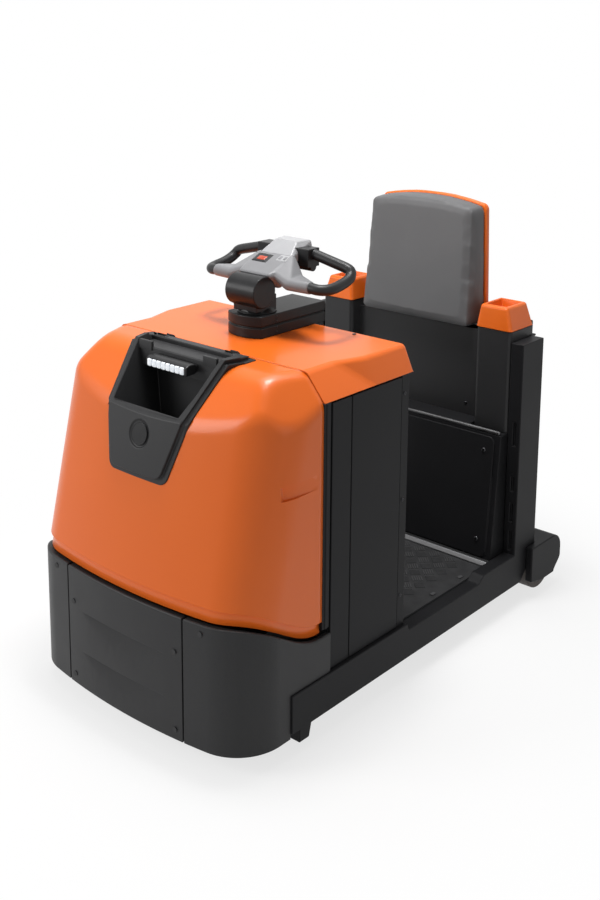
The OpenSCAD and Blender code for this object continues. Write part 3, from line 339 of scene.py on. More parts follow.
# Hood: a leaning wall in a shallow bow with round corners, below a flat, a slope and two shoulders.
# The same gel-coated laminate, 4 mm thick; its lower lip drops behind the bumper and a grip is let into each side.
# Its slope starts further forward than the solid's and is steeper, and the tray below follows it.
bumper_low, bumper_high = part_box("bumper_centre")
hood_half, seam_y, top_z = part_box("hood")[1]
foot = Vector((0, bumper_low[1] + 0.002, bumper_high[2] + 0.007))
bow, corner, hood_lean = 1.75, 0.130, math.radians(13)
roof_fall, roof_run, solid_run = 126, 108, 151
slope_start, slope = seam_y - 0.095, roof_fall / roof_run
top_inset, top_draw, shoulder_drop, shoulder_draw, shoulder_run = 0.058, 0.029, 0.067, 0.024, 0.130
shoulder = Vector((shoulder_drop * shoulder_run, -shoulder_drop * top_draw - top_inset * shoulder_draw,
                   top_inset * shoulder_run)).normalized()
slope_round, shoulder_round, crease_round = 0.03, 0.02, 0.012
corner_y = bow - math.sqrt((bow - corner) ** 2 - (hood_half - corner) ** 2)


def blend(a, b, reach):
    """The larger of two distances, with a round of the given reach where they meet."""
    near = max(reach - abs(a - b), 0) / reach
    return max(a, b) + near * near * reach / 4


def hood_depth(p):
    """Distance of a point outside the hood's skin, below zero inside it."""
    away, x = p - foot, abs(p.x)
    y = away.y * math.cos(hood_lean) - away.z * math.sin(hood_lean)
    if x * (bow - corner_y) < (hood_half - corner) * (bow - y):
        wall = math.hypot(x, bow - y) - bow
    elif y < corner_y:
        wall = math.hypot(x - hood_half + corner, y - corner_y) - corner
    else:
        wall = x - hood_half
    fall = (p.z - top_z - slope * (p.y - slope_start)) / math.sqrt(1 + slope ** 2)
    side = shoulder.dot(Vector((x - hood_half + top_inset, p.y - seam_y, p.z - top_z)))
    roof = blend(blend(fall, p.z - top_z, slope_round), side, shoulder_round)
    return blend(wall, roof, crease_round)


def skin_point(start, way, inset=0.0):
    """Where a ray from the seam plane reaches the skin, or a depth below it."""
    near, far = 0.0, 1.0
    for _ in range(26):
        half = (near + far) / 2
        near, far = (half, far) if hood_depth(start + way * half) < -inset else (near, half)
    return start + way * far


# Rows of the skin run level up to the height of the middle and fan out above it; columns turn about the seam plane.
grip_from, grip_to, grip_deep, grip_low, grip_top, flank = 0.018, 0.128, 0.007, 0.631, 0.664, 0.0008
grip_ends = (grip_from, grip_from + flank, grip_to - flank, grip_to)
grip_turns = [math.degrees(math.atan2(y, hood_half)) for y in grip_ends]
quarter = sorted(set(range(0, 20, 2)) | set(range(20, 51)) | set(range(52, 92, 2)) | set(grip_turns))
turns_round = quarter + [180 - a for a in reversed(quarter[:-1])]
plain_top, middle_z = 0.60, 0.70
level_rows = (plain_top, 0.615, 0.628, grip_low, grip_low + flank, 0.642, 0.653,
              grip_top - flank, grip_top, 0.667, 0.684, middle_z)
lifts = [k * 0.5 for k in range(1, 91)] + [46.5 + 1.5 * k for k in range(29)]
rim_drop, sweep_from, sweep_long = 0.101, 0.040, 0.250
lip_deep, lip_high, lip_ease, lip_edge = 0.008, 0.030, 0.0015, 0.001
plain_rows = 12
hood_shape = bmesh.new()
columns = []
for turn in turns_round:
    flat = Vector((math.cos(math.radians(turn)), -math.sin(math.radians(turn)), 0))
    front_y = skin_point(Vector((0, seam_y, foot.z)), flat).y
    share = min(max((front_y - bumper_low[1] - sweep_from) / sweep_long, 0), 1)
    rim = foot.z - rim_drop * share * share * (3 - 2 * share)
    skin_low = rim + lip_high + lip_ease
    rows = [(rim, lip_deep), (rim + lip_high, lip_deep), (rim + lip_high, lip_edge), (skin_low, 0.0)]
    rows += [(skin_low + (plain_top - skin_low) * k / plain_rows, 0.0) for k in range(1, plain_rows)]
    for z in level_rows:
        back = seam_y - skin_point(Vector((0, seam_y, z)), flat).y
        cut = grip_low < z < grip_top and grip_from < back < grip_to
        rows.append((z, grip_deep * (back - grip_from) / (grip_to - grip_from) if cut else 0.0))
    column = [skin_point(Vector((0, seam_y, z)), flat, inset) for z, inset in rows]
    for lift in lifts:
        up = math.radians(lift)
        column.append(skin_point(Vector((0, seam_y, middle_z)), flat * math.cos(up) + Vector((0, 0, math.sin(up)))))
    columns.append([hood_shape.verts.new(p) for p in column])
pole = hood_shape.verts.new((0, seam_y, top_z))
for a, b in zip(columns, columns[1:]):
    for k in range(len(a) - 1):
        hood_shape.faces.new((a[k], b[k], b[k + 1], a[k + 1]))
    hood_shape.faces.new((a[-1], b[-1], pole))
# The opening for the tray ends a little inside the tray's outline, so its edge is covered.
tray_low_z, tray_low_half, tray_top_half, tray_back, under = 0.626, 0.104, 0.178, seam_y - 0.012, 0.013
below_tray = []
for face in hood_shape.faces:
    spot = face.calc_center_median()
    tray_half = tray_low_half + (tray_top_half - tray_low_half) * (spot.z - tray_low_z) / (top_z - tray_low_z)
    if abs(spot.x) < tray_half - under and spot.z > tray_low_z + under and spot.y < tray_back - under:
        below_tray.append(face)
bmesh.ops.delete(hood_shape, geom=below_tray, context="FACES")
bmesh.ops.recalc_face_normals(hood_shape, faces=hood_shape.faces)
hood_body = settle(hood_shape, "hood_body", gel_coat, 32)
laminate = hood_body.modifiers.new("laminate", "SOLIDIFY")
laminate.thickness, laminate.offset = 0.004, -1.0
fix(hood_body, "chassis", "orange_moulding", "hood")

# Storage tray: a scooped insert in the hood with a pocket, a raised apron and a ledge with tabs over its rear.
# Injection-moulded polypropylene, pressed into the hood from above; the deep ledge has no solid of its own.
# Grained polypropylene: the tool is spark eroded; its grain is about 0.5 mm, drawn at 1.4 mm so that it shows.
grained_pp, tree, shader, place = begin("grained_polypropylene", Specular_IOR_Level=0.22)
fleck = put(tree, "ShaderNodeTexNoise", {"Scale": 1 / 0.0014, "Detail": 2.0}, {"Vector": place})["Fac"]
tint = put(tree, "ShaderNodeMix", {"data_type": "RGBA", 6: linear("#232324"), 7: linear("#333334")}, {0: fleck})
tree.links.new(tint[2], shader["Base Color"])
haze = put(tree, "ShaderNodeTexNoise", {"Scale": 1 / 0.09, "Detail": 2.0}, {"Vector": place})["Fac"]
gloss = put(tree, "ShaderNodeMapRange", {3: 0.36, 4: 0.5}, {0: haze})
tree.links.new(gloss[0], shader["Roughness"])
bump = put(tree, "ShaderNodeBump", {"Distance": 0.0003, "Strength": 0.8}, {"Height": fleck})
tree.links.new(bump[0], shader["Normal"])


mouth_half, mouth_low = 0.155, 0.755


def tray_edge(edge):
    """A full round on the pocket's mouth, a small one elsewhere."""
    ups = [f.normal.z > 0.15 or f.normal.y < -0.6 for f in edge.link_faces]
    low = min(v.co.z for v in edge.verts)
    inside = max(abs(v.co.x) for v in edge.verts) < mouth_half and low > mouth_low
    return 0.006 if inside and any(ups) and not all(ups) else 0.0022


solid_start, solid_slope, slope_end = seam_y - 0.052, roof_fall / solid_run, seam_y - 0.203


def roof_rise(y):
    """How far the skin's slope lies above the solid's; the two meet at the flat and at the crease."""
    if y <= slope_end:
        return 0.0
    return min(0, slope * (y - slope_start)) - min(0, solid_slope * (y - solid_start))


def follow_roof(shape):
    """Bends the tray to the slope of the hood's skin."""
    bmesh.ops.triangulate(shape, faces=shape.faces)
    for y in (slope_start, solid_start, slope_end):
        whole = shape.verts[:] + shape.edges[:] + shape.faces[:]
        bmesh.ops.bisect_plane(shape, geom=whole, dist=1e-5, plane_co=(0, y, 0), plane_no=(0, 1, 0))
    for v in shape.verts:
        v.co.z += roof_rise(v.co.y)
    bmesh.ops.dissolve_limit(shape, angle_limit=math.radians(0.4), verts=shape.verts, edges=shape.edges)


rounded("tray", tray_edge, grained_pp, "chassis", "dark_moulding", segments=4, angle=24, form=follow_roof)
ledge_half, ledge_front, ledge_rear, ledge_low = 0.142, seam_y - 0.099, seam_y - 0.046, 0.846
tab_in, tab_out, tab_low, tab_high = 0.090, 0.134, top_z - 0.008, top_z + 0.015
ledge_shape = bmesh.new()
slab(ledge_shape, (-ledge_half, ledge_front, ledge_low), (ledge_half, ledge_rear, top_z + 0.002), 0.004)
for side in (-1, 1):
    low_x, high_x = sorted((side * tab_in, side * tab_out))
    slab(ledge_shape, (low_x, ledge_front - 0.003, tab_low), (high_x, ledge_front + 0.005, tab_high), 0.002)
fix(settle(ledge_shape, "tray_ledge", grained_pp, 30), "chassis", "dark_moulding")

# Disc: a plain blank medallion in a bevelled recess of the tray's apron.
# Turned from ABS with a raised rim and clipped in from behind.
# Satin ABS: smooth dark grey with a soft broad highlight.
satin_abs, tree, shader, place = begin("satin_black_abs", Specular_IOR_Level=0.2)
flow = put(tree, "ShaderNodeTexNoise", {"Scale": 1 / 0.02, "Detail": 2.0}, {"Vector": place})["Fac"]
mottle(tree, shader, flow, "#1c1c1d", "#262627", 0.28, 0.38)


def turned(shape, stand, profile, turns=48):
    """A body of revolution about Z, placed by a matrix, from radius and height pairs."""
    around = [2 * math.pi * k / turns for k in range(turns)]
    rings = [[shape.verts.new(stand @ Vector((r * math.cos(a), r * math.sin(a), h))) for a in around]
             for r, h in profile]
    for a, b in zip(rings, rings[1:]):
        for k in range(turns):
            shape.faces.new((a[k], a[(k + 1) % turns], b[(k + 1) % turns], b[k]))
    shape.faces.new(rings[0][::-1])
    shape.faces.new(rings[-1])


def stand_at(point, way, up=(0, 0, 1)):
    """Matrix whose Z axis looks along way at a point, with its Y axis as near to up as it can be."""
    z = Vector(way).normalized()
    x = Vector(up).cross(z).normalized()
    y = z.cross(x)
    return Matrix.Translation(point) @ Matrix((x, y, z)).transposed().to_4x4()


disc_low, disc_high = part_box("badge_disc")
disc_mid = (Vector(disc_low) + Vector(disc_high)) / 2
disc_way = Vector((0, -math.cos(hood_lean), math.sin(hood_lean)))
disc_shape = bmesh.new()
turned(disc_shape, stand_at(disc_mid, disc_way),
       ((0.024, -0.002), (0.0275, -0.002), (0.0275, 0.0010), (0.0268, 0.0020), (0.0250, 0.0020),
        (0.0243, 0.0012), (0.012, 0.0014), (0.002, 0.0015)))
fix(settle(disc_shape, "blank_disc", satin_abs, 30), "chassis", "disc", "badge_disc")

# Lamp: a work-light bar above the pocket on a short bracket under the ledge's front edge.
# Die-cast housing behind a clear moulded lens with eight cells.
lamp_shift = Vector((0, -0.036, 0.015))


def under_ledge(shape):
    """Moves the lamp forward and up to the edge of the tray's ledge."""
    bmesh.ops.translate(shape, vec=lamp_shift, verts=shape.verts)


rounded("lamp", 0.003, satin_abs, "chassis", "lamp_body", form=under_ledge)
rounded("lamp_bracket", 0.001, satin_abs, "chassis", "lamp_body", form=under_ledge)
# Lens: clear acrylic over white reflectors, with a hard glint and a dark edge; each cell's brightness is a painted
# glow, its colour fed to emission, standing in for light the reflectors give back.
acrylic, tree, shader, place = begin("acrylic_lens", Roughness=0.06, Coat_Weight=0.6, Emission_Strength=0.35)
flute = put(tree, "ShaderNodeTexNoise", {"Scale": 1 / 0.007, "Detail": 1.0}, {"Vector": place})["Fac"]
tint = put(tree, "ShaderNodeMix", {"data_type": "RGBA", 6: linear("#b9c4d0"), 7: linear("#ffffff")}, {0: flute})
tree.links.new(tint[2], shader["Base Color"])
# Painted glow: the lens colour also lights the cells as emission.
tree.links.new(tint[2], shader["Emission Color"])


def plaque(shape, stand, width, height, thick, corner, crown=0.0):
    """A flat plate with round corners, lying in its stand's XY plane, with an eased front edge."""
    steps, ease = 5, min(thick * 0.4, corner * 0.6)
    rings = []
    for z, inset in ((0.0, 0.0), (thick - ease, 0.0), (thick - ease * 0.3, ease * 0.3), (thick, ease)):
        ring = []
        for cx, cy, start in ((1, 1, 0), (-1, 1, 90), (-1, -1, 180), (1, -1, 270)):
            for k in range(steps + 1):
                a = math.radians(start + 90 * k / steps)
                r = max(corner - inset, 1e-5)
                ring.append(shape.verts.new(stand @ Vector((cx * (width / 2 - corner) + r * math.cos(a),
                                                            cy * (height / 2 - corner) + r * math.sin(a), z))))
        rings.append(ring)
    for a, b in zip(rings, rings[1:]):
        for k in range(len(a)):
            shape.faces.new((a[k], a[(k + 1) % len(a)], b[(k + 1) % len(a)], b[k]))
    shape.faces.new(rings[0][::-1])
    top = shape.verts.new(stand @ Vector((0, 0, thick + crown)))
    for k in range(len(rings[-1])):
        shape.faces.new((rings[-1][k], rings[-1][(k + 1) % len(rings[-1])], top))


lamp_low, lamp_high = [Vector(c) + lamp_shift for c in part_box("lamp")]
lens_shape = bmesh.new()
cells, lens_side, lens_rim, cell_gap = 8, 0.006, 0.004, 0.0022
cell_pitch = (lamp_high[0] - lamp_low[0] - 2 * lens_side) / cells
lens_mid_z = (lamp_low[2] + lamp_high[2]) / 2 - 0.001
for k in range(cells):
    x = lamp_low[0] + lens_side + cell_pitch * (k + 0.5)
    plaque(lens_shape, stand_at((x, lamp_low[1] + 0.0005, lens_mid_z), (0, -1, 0)), cell_pitch - cell_gap,
           lamp_high[2] - lamp_low[2] - 2 * lens_rim, 0.003, 0.003, 0.0012)
fix(settle(lens_shape, "lamp_lens", acrylic, 30), "chassis", "lamp_body")

# Bumper: a middle panel and two wrapped side sections, screwed to the front weldment.
# Thick polypropylene mouldings in the same grain as the tray, with a rolled upper edge.
# The edge's round is measured by its width, which keeps it even where the side sections wrap.
finest_edge, bow_half, bow_middle, bow_long, rim_share = 0.0035, 0.395, -0.40, 0.33, 0.86


def bumper_edge(edge):
    """A rolled upper edge, small rounds elsewhere, and none on the fine steps of the screw seats."""
    if edge.calc_length() < finest_edge:
        return 0.0
    tops = [f.normal.z > 0.55 for f in edge.link_faces]
    fronts = [f.normal.y < -0.2 or abs(f.normal.x) > 0.5 for f in edge.link_faces]
    spread = [(v.co.x / bow_half) ** 2 + ((v.co.y - bow_middle) / bow_long) ** 2 for v in edge.verts]
    outer = sum(spread) / 2 > rim_share
    return 0.006 if any(tops) and not all(tops) and any(fronts) and outer else 0.0014


for name in ("bumper_centre", "bumper_sides"):
    panel = rounded(name, bumper_edge, grained_pp, "chassis", "dark_moulding", segments=4, angle=24)
    panel.modifiers["dressed_edges"].offset_type = "WIDTH"

# Console: a long box on the top cover that carries the steering column.
# Moulded ABS with a groove along its side and a row of small screws at each front corner.
# Textured ABS: near black and finer than the tray, with a satin sheen.
textured_abs, tree, shader, place = begin("textured_black_abs", Specular_IOR_Level=0.2)
fleck = put(tree, "ShaderNodeTexNoise", {"Scale": 1 / 0.0018, "Detail": 1.0}, {"Vector": place})["Fac"]
mottle(tree, shader, fleck, "#181819", "#232324", 0.34, 0.46)
bump = put(tree, "ShaderNodeBump", {"Distance": 0.0001}, {"Height": fleck})
tree.links.new(bump[0], shader["Normal"])
rounded("console", 0.0022, textured_abs, "chassis", "dark_moulding")
console_low, console_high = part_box("console")
screw_y = console_low[1] + 0.075
socket_screws("console_screws", [((side * console_high[0], screw_y, console_low[2] + up), (side, 0, 0))
                                 for side in (-1, 1) for up in (0.009, 0.022, 0.037, 0.049)],
              0.006, 0.002, black_oxide, "chassis", "dark_moulding")

# Steering handle: a drum on the column carries a wide winged head with a loop on each side.
# Moulded in glass-filled nylon, bolted to the drum; the grips are tubes covered in soft plastic.
# Glass-filled nylon: light grey with a fine satin texture and a faint flow mottle.
grey_nylon, tree, shader, place = begin("grey_nylon", Specular_IOR_Level=0.25)
flow = put(tree, "ShaderNodeTexNoise", {"Scale": 1 / 0.03, "Detail": 3.0}, {"Vector": place})["Fac"]
mottle(tree, shader, flow, "#767678", "#808082", 0.34, 0.44)
fleck = put(tree, "ShaderNodeTexNoise", {"Scale": 1 / 0.0012, "Detail": 1.0}, {"Vector": place})["Fac"]
bump = put(tree, "ShaderNodeBump", {"Distance": 0.00005}, {"Height": fleck})
tree.links.new(bump[0], shader["Normal"])


def melted(node, name, voxel, rounds, finish, body, slot):
    """The CAD node remeshed and relaxed, so that its forms run into each other as in a moulding."""
    shape = welded(node)
    source = settle(shape, name, finish, 180)
    skin = source.modifiers.new("skin", "REMESH")
    skin.mode, skin.voxel_size, skin.use_smooth_shade = "VOXEL", voxel, True
    relax = source.modifiers.new("relax", "SMOOTH")
    relax.factor, relax.iterations = 0.5, rounds
    mesh = bpy.data.meshes.new_from_object(source.evaluated_get(bpy.context.evaluated_depsgraph_get()))
    source.modifiers.clear()
    source.data = mesh
    mesh.shade_smooth()
    mesh.materials.clear()
    mesh.materials.append(finish)
    return fix(source, body, slot, node)


head = melted("handle_head", "winged_head", 0.0022, 7, grey_nylon, "handle", "handle_grey")
rounded("handle_base", 0.0025, satin_abs, "handle", "handle_black", segments=4)

# Switch cap: the light cover at the rear of the head, over its switches.
# Polished ABS, paler than the head, clipped on.
pale_abs, tree, shader, place = begin("pale_grey_abs", Specular_IOR_Level=0.3, Coat_Weight=0.1, Coat_Roughness=0.15)
flow = put(tree, "ShaderNodeTexNoise", {"Scale": 1 / 0.03, "Detail": 2.0}, {"Vector": place})["Fac"]
mottle(tree, shader, flow, "#9a9a9c", "#a4a4a6", 0.25, 0.36)
melted("switch_cap", "switch_cover", 0.0015, 4, pale_abs, "handle", "cap_grey")

# Grips and thumb controls: a soft black covering on the loops, and two control brackets.
# The loops are steel tube dipped in PVC, the brackets are moulded in ABS.
# Soft PVC: black, matt and a little worn where hands rub.
soft_pvc, tree, shader, place = begin("soft_black_pvc", Specular_IOR_Level=0.25)
wear_and_sheen_mottle = put(tree, "ShaderNodeTexNoise", {"Scale": 1 / 0.025, "Detail": 3.0}, {"Vector": place})["Fac"]
mottle(tree, shader, wear_and_sheen_mottle, "#19191a", "#252526", 0.3, 0.46)
fix(settle(welded("handle_loops"), "grip_loops", soft_pvc, 60), "handle", "handle_black", "handle_loops")
rounded("handle_controls", 0.002, satin_abs, "handle", "handle_black")

# Display and keypad: small inserts on the head, glued into shallow seats.
# A tinted window in a dark frame, and a pale membrane pad with two keys.
deck = BVHTree.FromObject(head, bpy.context.evaluated_depsgraph_get())


def on_deck(x, y):
    """Place on the head's upper side and the way its surface looks."""
    point, way, _, _ = deck.ray_cast(Vector((x, y, 1.4)), Vector((0, 0, -1)))
    return point, way


# Tinted window: clear polycarbonate with a red-brown tint, smooth and glossy.
window_glass, tree, shader, place = begin("tinted_window", Roughness=0.08)
glow = put(tree, "ShaderNodeTexNoise", {"Scale": 1 / 0.01}, {"Vector": place})["Fac"]
tint = put(tree, "ShaderNodeMix", {"data_type": "RGBA", 6: linear("#a2361a"), 7: linear("#b8431f")}, {0: glow})
tree.links.new(tint[2], shader["Base Color"])
for name, x, y, wide, tall, thick, round_off, finish, slot in (
        ("display_frame", -0.022, -0.196, 0.050, 0.036, 0.0016, 0.003, satin_abs, "handle_black"),
        ("display_window", -0.022, -0.197, 0.028, 0.016, 0.0024, 0.002, window_glass, "handle_black"),
        ("keypad", 0.040, -0.186, 0.032, 0.026, 0.0018, 0.004, pale_abs, "cap_grey"),
        ("key_left", 0.032, -0.186, 0.009, 0.014, 0.0030, 0.002, grey_nylon, "handle_grey"),
        ("key_right", 0.048, -0.186, 0.009, 0.014, 0.0030, 0.002, grey_nylon, "handle_grey")):
    point, way = on_deck(x, y)
    insert = bmesh.new()
    plaque(insert, stand_at(point - way * 0.001, way, (0, 1, 0)), wide, tall, thick, round_off, 0.0002)
    fix(settle(insert, name, finish, 30), "handle", slot)

# Rear panel: a leaning box behind the driver's legs, with a rolled ledge and four fixing bolts in its front plate.
# Folded steel sheet with the chassis coat; a lighter metal strip along the rolled edge is a painted highlight.
panel_low, panel_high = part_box("rear_panel")


def stand_up(shape):
    """Moves the foot of the panel's front back to the kick strip, so that it leans less."""
    for v in shape.verts:
        if v.co.y < panel_low[1] + 0.10:
            v.co.y += deck_more * (panel_high[2] - v.co.z) / (panel_high[2] - panel_low[2])


rounded("rear_panel", 0.0022, powder_coat, "chassis", "painted_steel", form=stand_up)
panel_shape = welded("rear_panel")
stand_up(panel_shape)
panel_tree = BVHTree.FromBMesh(panel_shape)
bolt_places = []
for x in (-0.295, 0.295):
    for z in (0.205, 0.470):
        point, way, _, _ = panel_tree.ray_cast(Vector((x, 0.0, z)), Vector((0, 1, 0)))
        bolt_places.append((point, way))
socket_screws("panel_bolts", bolt_places, 0.014, 0.004, black_oxide, "chassis", "painted_steel")

edge_shape = bmesh.new()
ledge_point, _, _, _ = panel_tree.ray_cast(Vector((0.0, 0.0, panel_high[2] - 0.006)), Vector((0, 1, 0)))
edge_half, edge_round = panel_high[0] - 0.006, 0.0055
turned(edge_shape, stand_at((-edge_half, ledge_point.y + 0.0035, panel_high[2] - 0.0052), (1, 0, 0)),
       ((0.002, -0.0), (edge_round, 0.003), (edge_round, 2 * edge_half - 0.003), (0.002, 2 * edge_half)), 20)
# Edge strip: steel lighter than the coat, a painted highlight along the rolled edge, mottled in cloudy patches.
highlight_edge_steel, tree, shader, place = begin("rubbed_steel_edge", Metallic=0.8)
wear_and_sheen_mottle = put(tree, "ShaderNodeTexNoise", {"Scale": 1 / 0.05, "Detail": 4.0}, {"Vector": place})["Fac"]
mottle(tree, shader, wear_and_sheen_mottle, "#4a4a4b", "#6f6f70", 0.3, 0.5)
fix(settle(edge_shape, "rolled_ledge_edge", highlight_edge_steel, 40), "chassis", "painted_steel")

# Upper panel: a flat cover between the columns, above the ledge.
# A sheet of the tray's grained polypropylene, held by two socket screws; its grey, lighter than the chassis coat,
# also stands in for the light falling on the panel, so it is partly painted light.
coat(grained_pp, "upper_panel")
upper_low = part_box("upper_panel")[0]
socket_screws("upper_panel_screws", [((side * 0.175, upper_low[1], upper_low[2] + 0.035), (0, -1, 0))
                                     for side in (-1, 1)],
              0.010, 0.003, black_oxide, "chassis", "painted_steel")

# Columns, cap bins and backrest shell: hollow uprights at the rear corners, each topped by an open bin.
# The columns are the tray's polypropylene; the bins and the shell between them are gloss ABS in the hood's orange.
rounded("columns", 0.003, grained_pp, "chassis", "dark_moulding", segments=4)
# Orange ABS: gloss injection moulding, the same colour as the hood but slightly softer in its shine.
orange_abs, tree, shader, place = begin("orange_gloss_abs", Specular_IOR_Level=0.25,
                                        Coat_Weight=0.1, Coat_Roughness=0.12)
drift = put(tree, "ShaderNodeTexNoise", {"Scale": 1 / 0.05, "Detail": 2.0}, {"Vector": place})["Fac"]
mottle(tree, shader, drift, "#e0641a", "#e66c1f", 0.28, 0.4)
rounded("cap_bins", 0.0025, orange_abs, "chassis", "orange_moulding", angle=40)
rounded("backrest_shell", 0.005, orange_abs, "chassis", "orange_moulding", segments=4, angle=40)

# Backrest cushion: a lean-on pad moulded onto a plate and screwed to the orange shell.
# Integral-skin polyurethane foam: the skin is tough, smooth and slightly crowned, with a crease near its edge.
# Foam skin: mid grey with a very fine leather grain of about 1.5 mm and a dull broad sheen.
foam_skin, tree, shader, place = begin("polyurethane_foam_skin", Specular_IOR_Level=0.2)
pore = put(tree, "ShaderNodeTexVoronoi", {"Scale": 1 / 0.0022}, {"Vector": place})["Distance"]
cloud = put(tree, "ShaderNodeTexNoise", {"Scale": 1 / 0.12, "Detail": 3.0}, {"Vector": place})["Fac"]
mottle(tree, shader, cloud, "#5c5c5d", "#656566", 0.46, 0.58)
bump = put(tree, "ShaderNodeBump", {"Distance": 0.00012}, {"Height": pore})
tree.links.new(bump[0], shader["Normal"])

pad_low, pad_high = [Vector(c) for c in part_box("cushion")]
pad_shape = welded("cushion")
bmesh.ops.recalc_face_normals(pad_shape, faces=pad_shape.faces)
shrink = 0.004
pad_shape.normal_update()
for v in pad_shape.verts:
    if v.co.y < pad_high.y - 0.002:
        v.co -= v.normal * shrink
pad = settle(pad_shape, "backrest_pad", foam_skin, 180)
skin = pad.modifiers.new("skin", "REMESH")
skin.mode, skin.voxel_size = "VOXEL", 0.0045
pad.data = bpy.data.meshes.new_from_object(pad.evaluated_get(bpy.context.evaluated_depsgraph_get()))
pad.modifiers.clear()
start = [v.co.copy() for v in pad.data.vertices]
held = pad.vertex_groups.new(name="held")
held.add([v.index for v in pad.data.vertices if v.co.y > pad_high.y - 0.006], 1.0, "REPLACE")
cloth = pad.modifiers.new("cloth", "CLOTH")
cloth.settings.vertex_group_mass = "held"
cloth.settings.use_pressure = True
cloth.settings.uniform_pressure_force = 1.6
cloth.settings.tension_stiffness = cloth.settings.compression_stiffness = 40.0
cloth.settings.bending_stiffness = 12.0
cloth.settings.effector_weights.gravity = 0.0
cloth.settings.quality = 5
for step in range(1, 21):
    bpy.context.scene.frame_set(step)
ease = pad.modifiers.new("ease", "SMOOTH")
ease.factor, ease.iterations = 0.5, 14
swollen = bpy.data.meshes.new_from_object(pad.evaluated_get(bpy.context.evaluated_depsgraph_get()))
pad.modifiers.clear()
pad.data = swollen
bpy.context.scene.frame_set(1)
most = 0.005
side_taper, top_crown, front_lean = 0.011, 0.012, 0.029
crease_in, crease_wide, crease_deep = 0.012, 0.0035, 0.0016
for v, first in zip(pad.data.vertices, start):
    moved = v.co - first
    if moved.length > most:
        v.co = first + moved * (most / moved.length)
    share = (v.co.z - pad_low.z) / (pad_high.z - pad_low.z)
    side = pad_high.x - side_taper * share - abs(v.co.x)
    inward = min(side, pad_high.z - top_crown * (v.co.x / pad_high.x) ** 2 - v.co.z, v.co.z - pad_low.z)
    front = pad_low.y + front_lean * share
    if v.co.y < front + 0.02:
        v.co.y += crease_deep * math.exp(-((inward - crease_in) / crease_wide) ** 2)
pad.data.materials.clear()
pad.data.materials.append(foam_skin)
pad.data.shade_smooth()
pad.modifiers.new("even_skin", "SUBSURF").levels = 1
pad.modifiers["even_skin"].render_levels = 1
fix(pad, "chassis", "cushion_cover", "cushion")

# Wheel guards: bent covers outside the rear wheels, welded to the posts.
# Steel plate with the chassis coat and rounded outer edges.
rounded("guards", 0.0035, powder_coat, "chassis", "painted_steel", segments=4)

# Rear axles, wheels and caps: a stub under each post carries a hub with a bonded tread, held by a domed cap.
# Hubs are grey cast iron, treads are hot-cast polyurethane, caps are pressed and zinc plated.
# The drive wheel in front has a hub and a tread of the same kind.
coat(powder_coat, "rear_axles")
# Cast iron: dull grey with the sand's grain of about 1 mm, drawn at 2 mm.
cast_iron, tree, shader, place = begin("grey_cast_iron", Metallic=0.7)
sand = put(tree, "ShaderNodeTexNoise", {"Scale": 1 / 0.002, "Detail": 3.0}, {"Vector": place})["Fac"]
mottle(tree, shader, sand, "#5d5d5e", "#747475", 0.45, 0.65)
bump = put(tree, "ShaderNodeBump", {"Distance": 0.0002}, {"Height": sand})
tree.links.new(bump[0], shader["Normal"])
coat(cast_iron, "drive_hub")
# Polyurethane: dark brown and faintly waxy, scuffed dull where it rolls.
polyurethane, tree, shader, place = begin("cast_polyurethane")
scuff = put(tree, "ShaderNodeTexNoise", {"Scale": 1 / 0.012, "Detail": 5.0}, {"Vector": place})["Fac"]
mottle(tree, shader, scuff, "#2b221d", "#3a2f28", 0.4, 0.7)
bump = put(tree, "ShaderNodeBump", {"Distance": 0.0003}, {"Height": scuff})
tree.links.new(bump[0], shader["Normal"])
for side in ("left", "right"):
    rounded("rear_tyre_" + side, 0.005, polyurethane, "rear_wheel_" + side, "polyurethane", segments=4)
    rounded("rear_hub_" + side, 0.0025, cast_iron, "rear_wheel_" + side, "cast_hub")
rounded("drive_tyre", 0.006, polyurethane, "drive_wheel", "polyurethane", segments=4)
# Zinc plate: passivated steel, light grey with a faint spangle of a few millimetres.
zinc, tree, shader, place = begin("zinc_plated_steel", Metallic=1.0)
spangle = put(tree, "ShaderNodeTexVoronoi", {"Scale": 1 / 0.004}, {"Vector": place})["Distance"]
mottle(tree, shader, spangle, "#8a8b8d", "#a5a6a8", 0.26, 0.42)
rounded("axle_caps", 0.002, zinc, "chassis", "bare_steel")

# Coupling: a thick back plate with a welded two-lip jaw and a drop pin with a bent handle.
# Plate and jaw are coated steel, the pin is zinc plated bar.
rounded("coupling_plate", 0.0025, powder_coat, "chassis", "painted_steel")
rounded("tow_jaw", 0.003, powder_coat, "chassis", "painted_steel")
rounded("tow_pin", 0.002, zinc, "pin", "bare_steel")

# Drive unit: a steered fork and gear case with the traction motor on top, hidden below the hood.
# The case is sand-cast aluminium, the motor a coated steel drum.
cast_aluminium, tree, shader, place = begin("cast_aluminium", Metallic=0.9)
sand = put(tree, "ShaderNodeTexNoise", {"Scale": 1 / 0.0025, "Detail": 3.0}, {"Vector": place})["Fac"]
mottle(tree, shader, sand, "#77787a", "#8d8e90", 0.42, 0.6)
bump = put(tree, "ShaderNodeBump", {"Distance": 0.00025}, {"Height": sand})
tree.links.new(bump[0], shader["Normal"])
coat(cast_aluminium, "drive_fork")
coat(powder_coat, "drive_motor")

# Studio floor: a white paper sweep, seen as white and still taking the shadow of the machine.
# Near the machine it is matt paper; further out it passes into the white of the backdrop.
scene = bpy.context.scene
floor_half = 8.0
floor_mesh = bpy.data.meshes.new("paper_sweep")
floor_corners = [(x * floor_half, y * floor_half, 0) for x, y in ((-1, -1), (1, -1), (1, 1), (-1, 1))]
floor_mesh.from_pydata(floor_corners, [], [(0, 1, 2, 3)])
paper_sweep = bpy.data.objects.new("paper_sweep", floor_mesh)
scene.collection.objects.link(paper_sweep)


